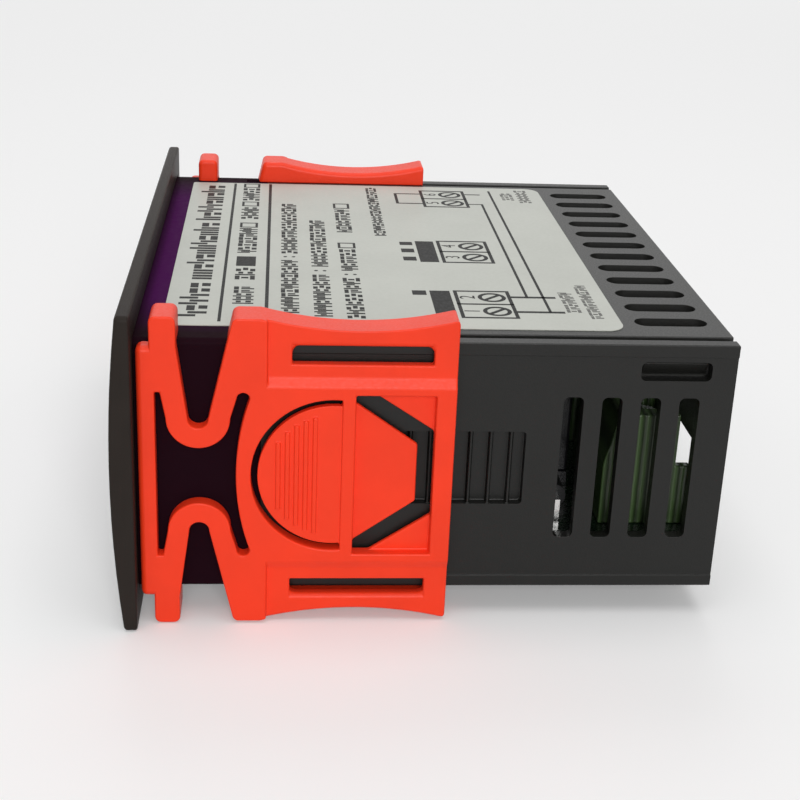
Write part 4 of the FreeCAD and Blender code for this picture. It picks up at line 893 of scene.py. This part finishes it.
def print_segments():
    """The unlit segments of the display's three figures."""
    low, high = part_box("led_display")
    middle = (low + high) / 2
    wide, tall = DIGIT_HALF
    sheet = Print()
    for digit in (-1, 0, 1):
        x = digit * DIGIT_PITCH
        for level in (-tall, 0.0, tall):
            sheet.bar((x - wide + SEGMENT_GAP, level), (x + wide - SEGMENT_GAP, level), SEGMENT_WIDTH)
        for side in (-wide, wide):
            for foot in (-tall, 0.0):
                start, end = foot + SEGMENT_GAP, foot + tall - SEGMENT_GAP
                sheet.bar((x + side, start), (x + side, end), SEGMENT_WIDTH)
        sheet.disc((x + wide + POINT_STEP, -tall), SEGMENT_WIDTH / 2)
    face = Matrix.Translation((middle.x, low.y, middle.z))
    material = ink("segments", SEGMENT_PALE)
    sheet.piece("display_segments", face @ FRONTWARD, ROOT, "display_grey", material)


# How far a capacitor's sleeve laps over its top, in millimetres
CAN_RIM = 0.7


def foil_can_tops():
    """The bare metal discs on top of the capacitors."""
    material = metal("can_tops", CAN_TOP)
    for can in ("filter_capacitor", "output_capacitor"):
        low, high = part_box(can)
        middle = (low + high) / 2
        sheet = Print()
        sheet.disc((0.0, 0.0), (high.x - low.x) / 2 / MM - CAN_RIM)
        top = Matrix.Translation((middle.x, middle.y, high.z))
        sheet.piece(can + "_top", top, ROOT, "screw_steel", material)


def seen_rays(tree):
    """A switch that is on where the background is seen, mirrored or shines through."""
    path = tree.nodes.new("ShaderNodeLightPath")
    seen = path.outputs["Is Camera Ray"]
    for kind in ("Is Glossy Ray", "Is Transmission Ray"):
        either = tree.nodes.new("ShaderNodeMath")
        either.operation = "MAXIMUM"
        tree.links.new(seen, either.inputs[0])
        tree.links.new(path.outputs[kind], either.inputs[1])
        seen = either.outputs["Value"]
    return seen


# Half the floor's width, the light of its own that it shows, and where it fades into the background
FLOOR_HALF = 4.0
FLOOR_GLOW = 0.19
FLOOR_FADE = (0.3, 0.8)


def make_stage():
    """A pale floor under the bezel's lower edge, which fades into the background further off."""
    signs = [(-1, -1), (1, -1), (1, 1), (-1, 1)]
    corners = [(x * FLOOR_HALF, y * FLOOR_HALF, cad_box[0].z) for x, y in signs]
    mesh = bpy.data.meshes.new("floor")
    mesh.from_pydata(corners, [], [(0, 1, 2, 3)])
    look = Look("floor_pale", Roughness=0.9, Specular_IOR_Level=0.0, Emission_Color=light(BACKGROUND))
    away = look.tree.nodes.new("ShaderNodeVectorMath")
    away.operation = "LENGTH"
    look.tree.links.new(look.place, away.inputs[0])
    distance = away.outputs["Value"]
    look.feed("Base Color", look.shade(distance, FLOOR_PALE, 1.0, 0.0, *FLOOR_FADE))
    glow_and_painted_light = look.between(distance, FLOOR_GLOW, 1.0, *FLOOR_FADE)
    look.feed("Emission Strength", look.reckon("MULTIPLY", glow_and_painted_light, seen_rays(look.tree)))
    mesh.materials.append(look.material)
    placed("floor", mesh)


# Strength of the light from all round
AMBIENT = 0.42


def make_world():
    """Soft light from all round, and the pale background where one looks at it."""
    world = bpy.data.worlds.new("studio")
    bpy.context.scene.world = world
    world.use_nodes = True
    tree = world.node_tree
    tree.nodes.clear()
    output = tree.nodes.new("ShaderNodeOutputWorld")
    mix = tree.nodes.new("ShaderNodeMixShader")
    ambient = tree.nodes.new("ShaderNodeBackground")
    shown = tree.nodes.new("ShaderNodeBackground")
    ambient.inputs["Strength"].default_value = AMBIENT
    shown.inputs["Color"].default_value = light(BACKGROUND)
    tree.links.new(seen_rays(tree), mix.inputs["Fac"])
    tree.links.new(ambient.outputs["Background"], mix.inputs[1])
    tree.links.new(shown.outputs["Background"], mix.inputs[2])
    tree.links.new(mix.outputs["Shader"], output.inputs["Surface"])


# Softboxes: their place, width in metres and power in watts. The top surfaces mirror the one behind
LAMPS = {
    "overhead": (Vector((0.15, 0.05, 1.1)), 0.9, 4.8),
    "front": (Vector((1.3, 0.1, 0.5)), 0.6, 9.6),
    "behind": (Vector((-0.75, 0.05, 0.8)), 0.6, 2.0),
}
LAMP_TARGET = Vector((0.0, 0.03, 0.0))


def make_lights():
    """Square softboxes, aimed at the part."""
    for name, (place, size, power) in LAMPS.items():
        lamp = bpy.data.lights.new(name, "AREA")
        lamp.shape = "SQUARE"
        lamp.size = size
        lamp.energy = power
        holder = placed(name, lamp)
        holder.location = place
        holder.rotation_euler = (LAMP_TARGET - place).to_track_quat("-Z", "Y").to_euler()


def make_camera():
    """The photograph's camera."""
    camera = bpy.data.cameras.new("camera")
    camera.lens = CAMERA_LENS
    camera.sensor_width = CAMERA_SENSOR
    camera.clip_start, camera.clip_end = CAMERA_CLIP
    holder = placed("camera", camera)
    turn = Matrix((CAMERA_RIGHT, CAMERA_UP, CAMERA_BACK)).transposed()
    holder.matrix_world = Matrix.Translation(CAMERA_PLACE) @ turn.to_4x4()
    bpy.context.scene.camera = holder


dress_nodes()
print_label()
print_keys()
print_segments()
foil_can_tops()
make_stage()
make_world()
make_lights()
make_camera()
bpy.context.scene.view_settings.view_transform = "Standard"
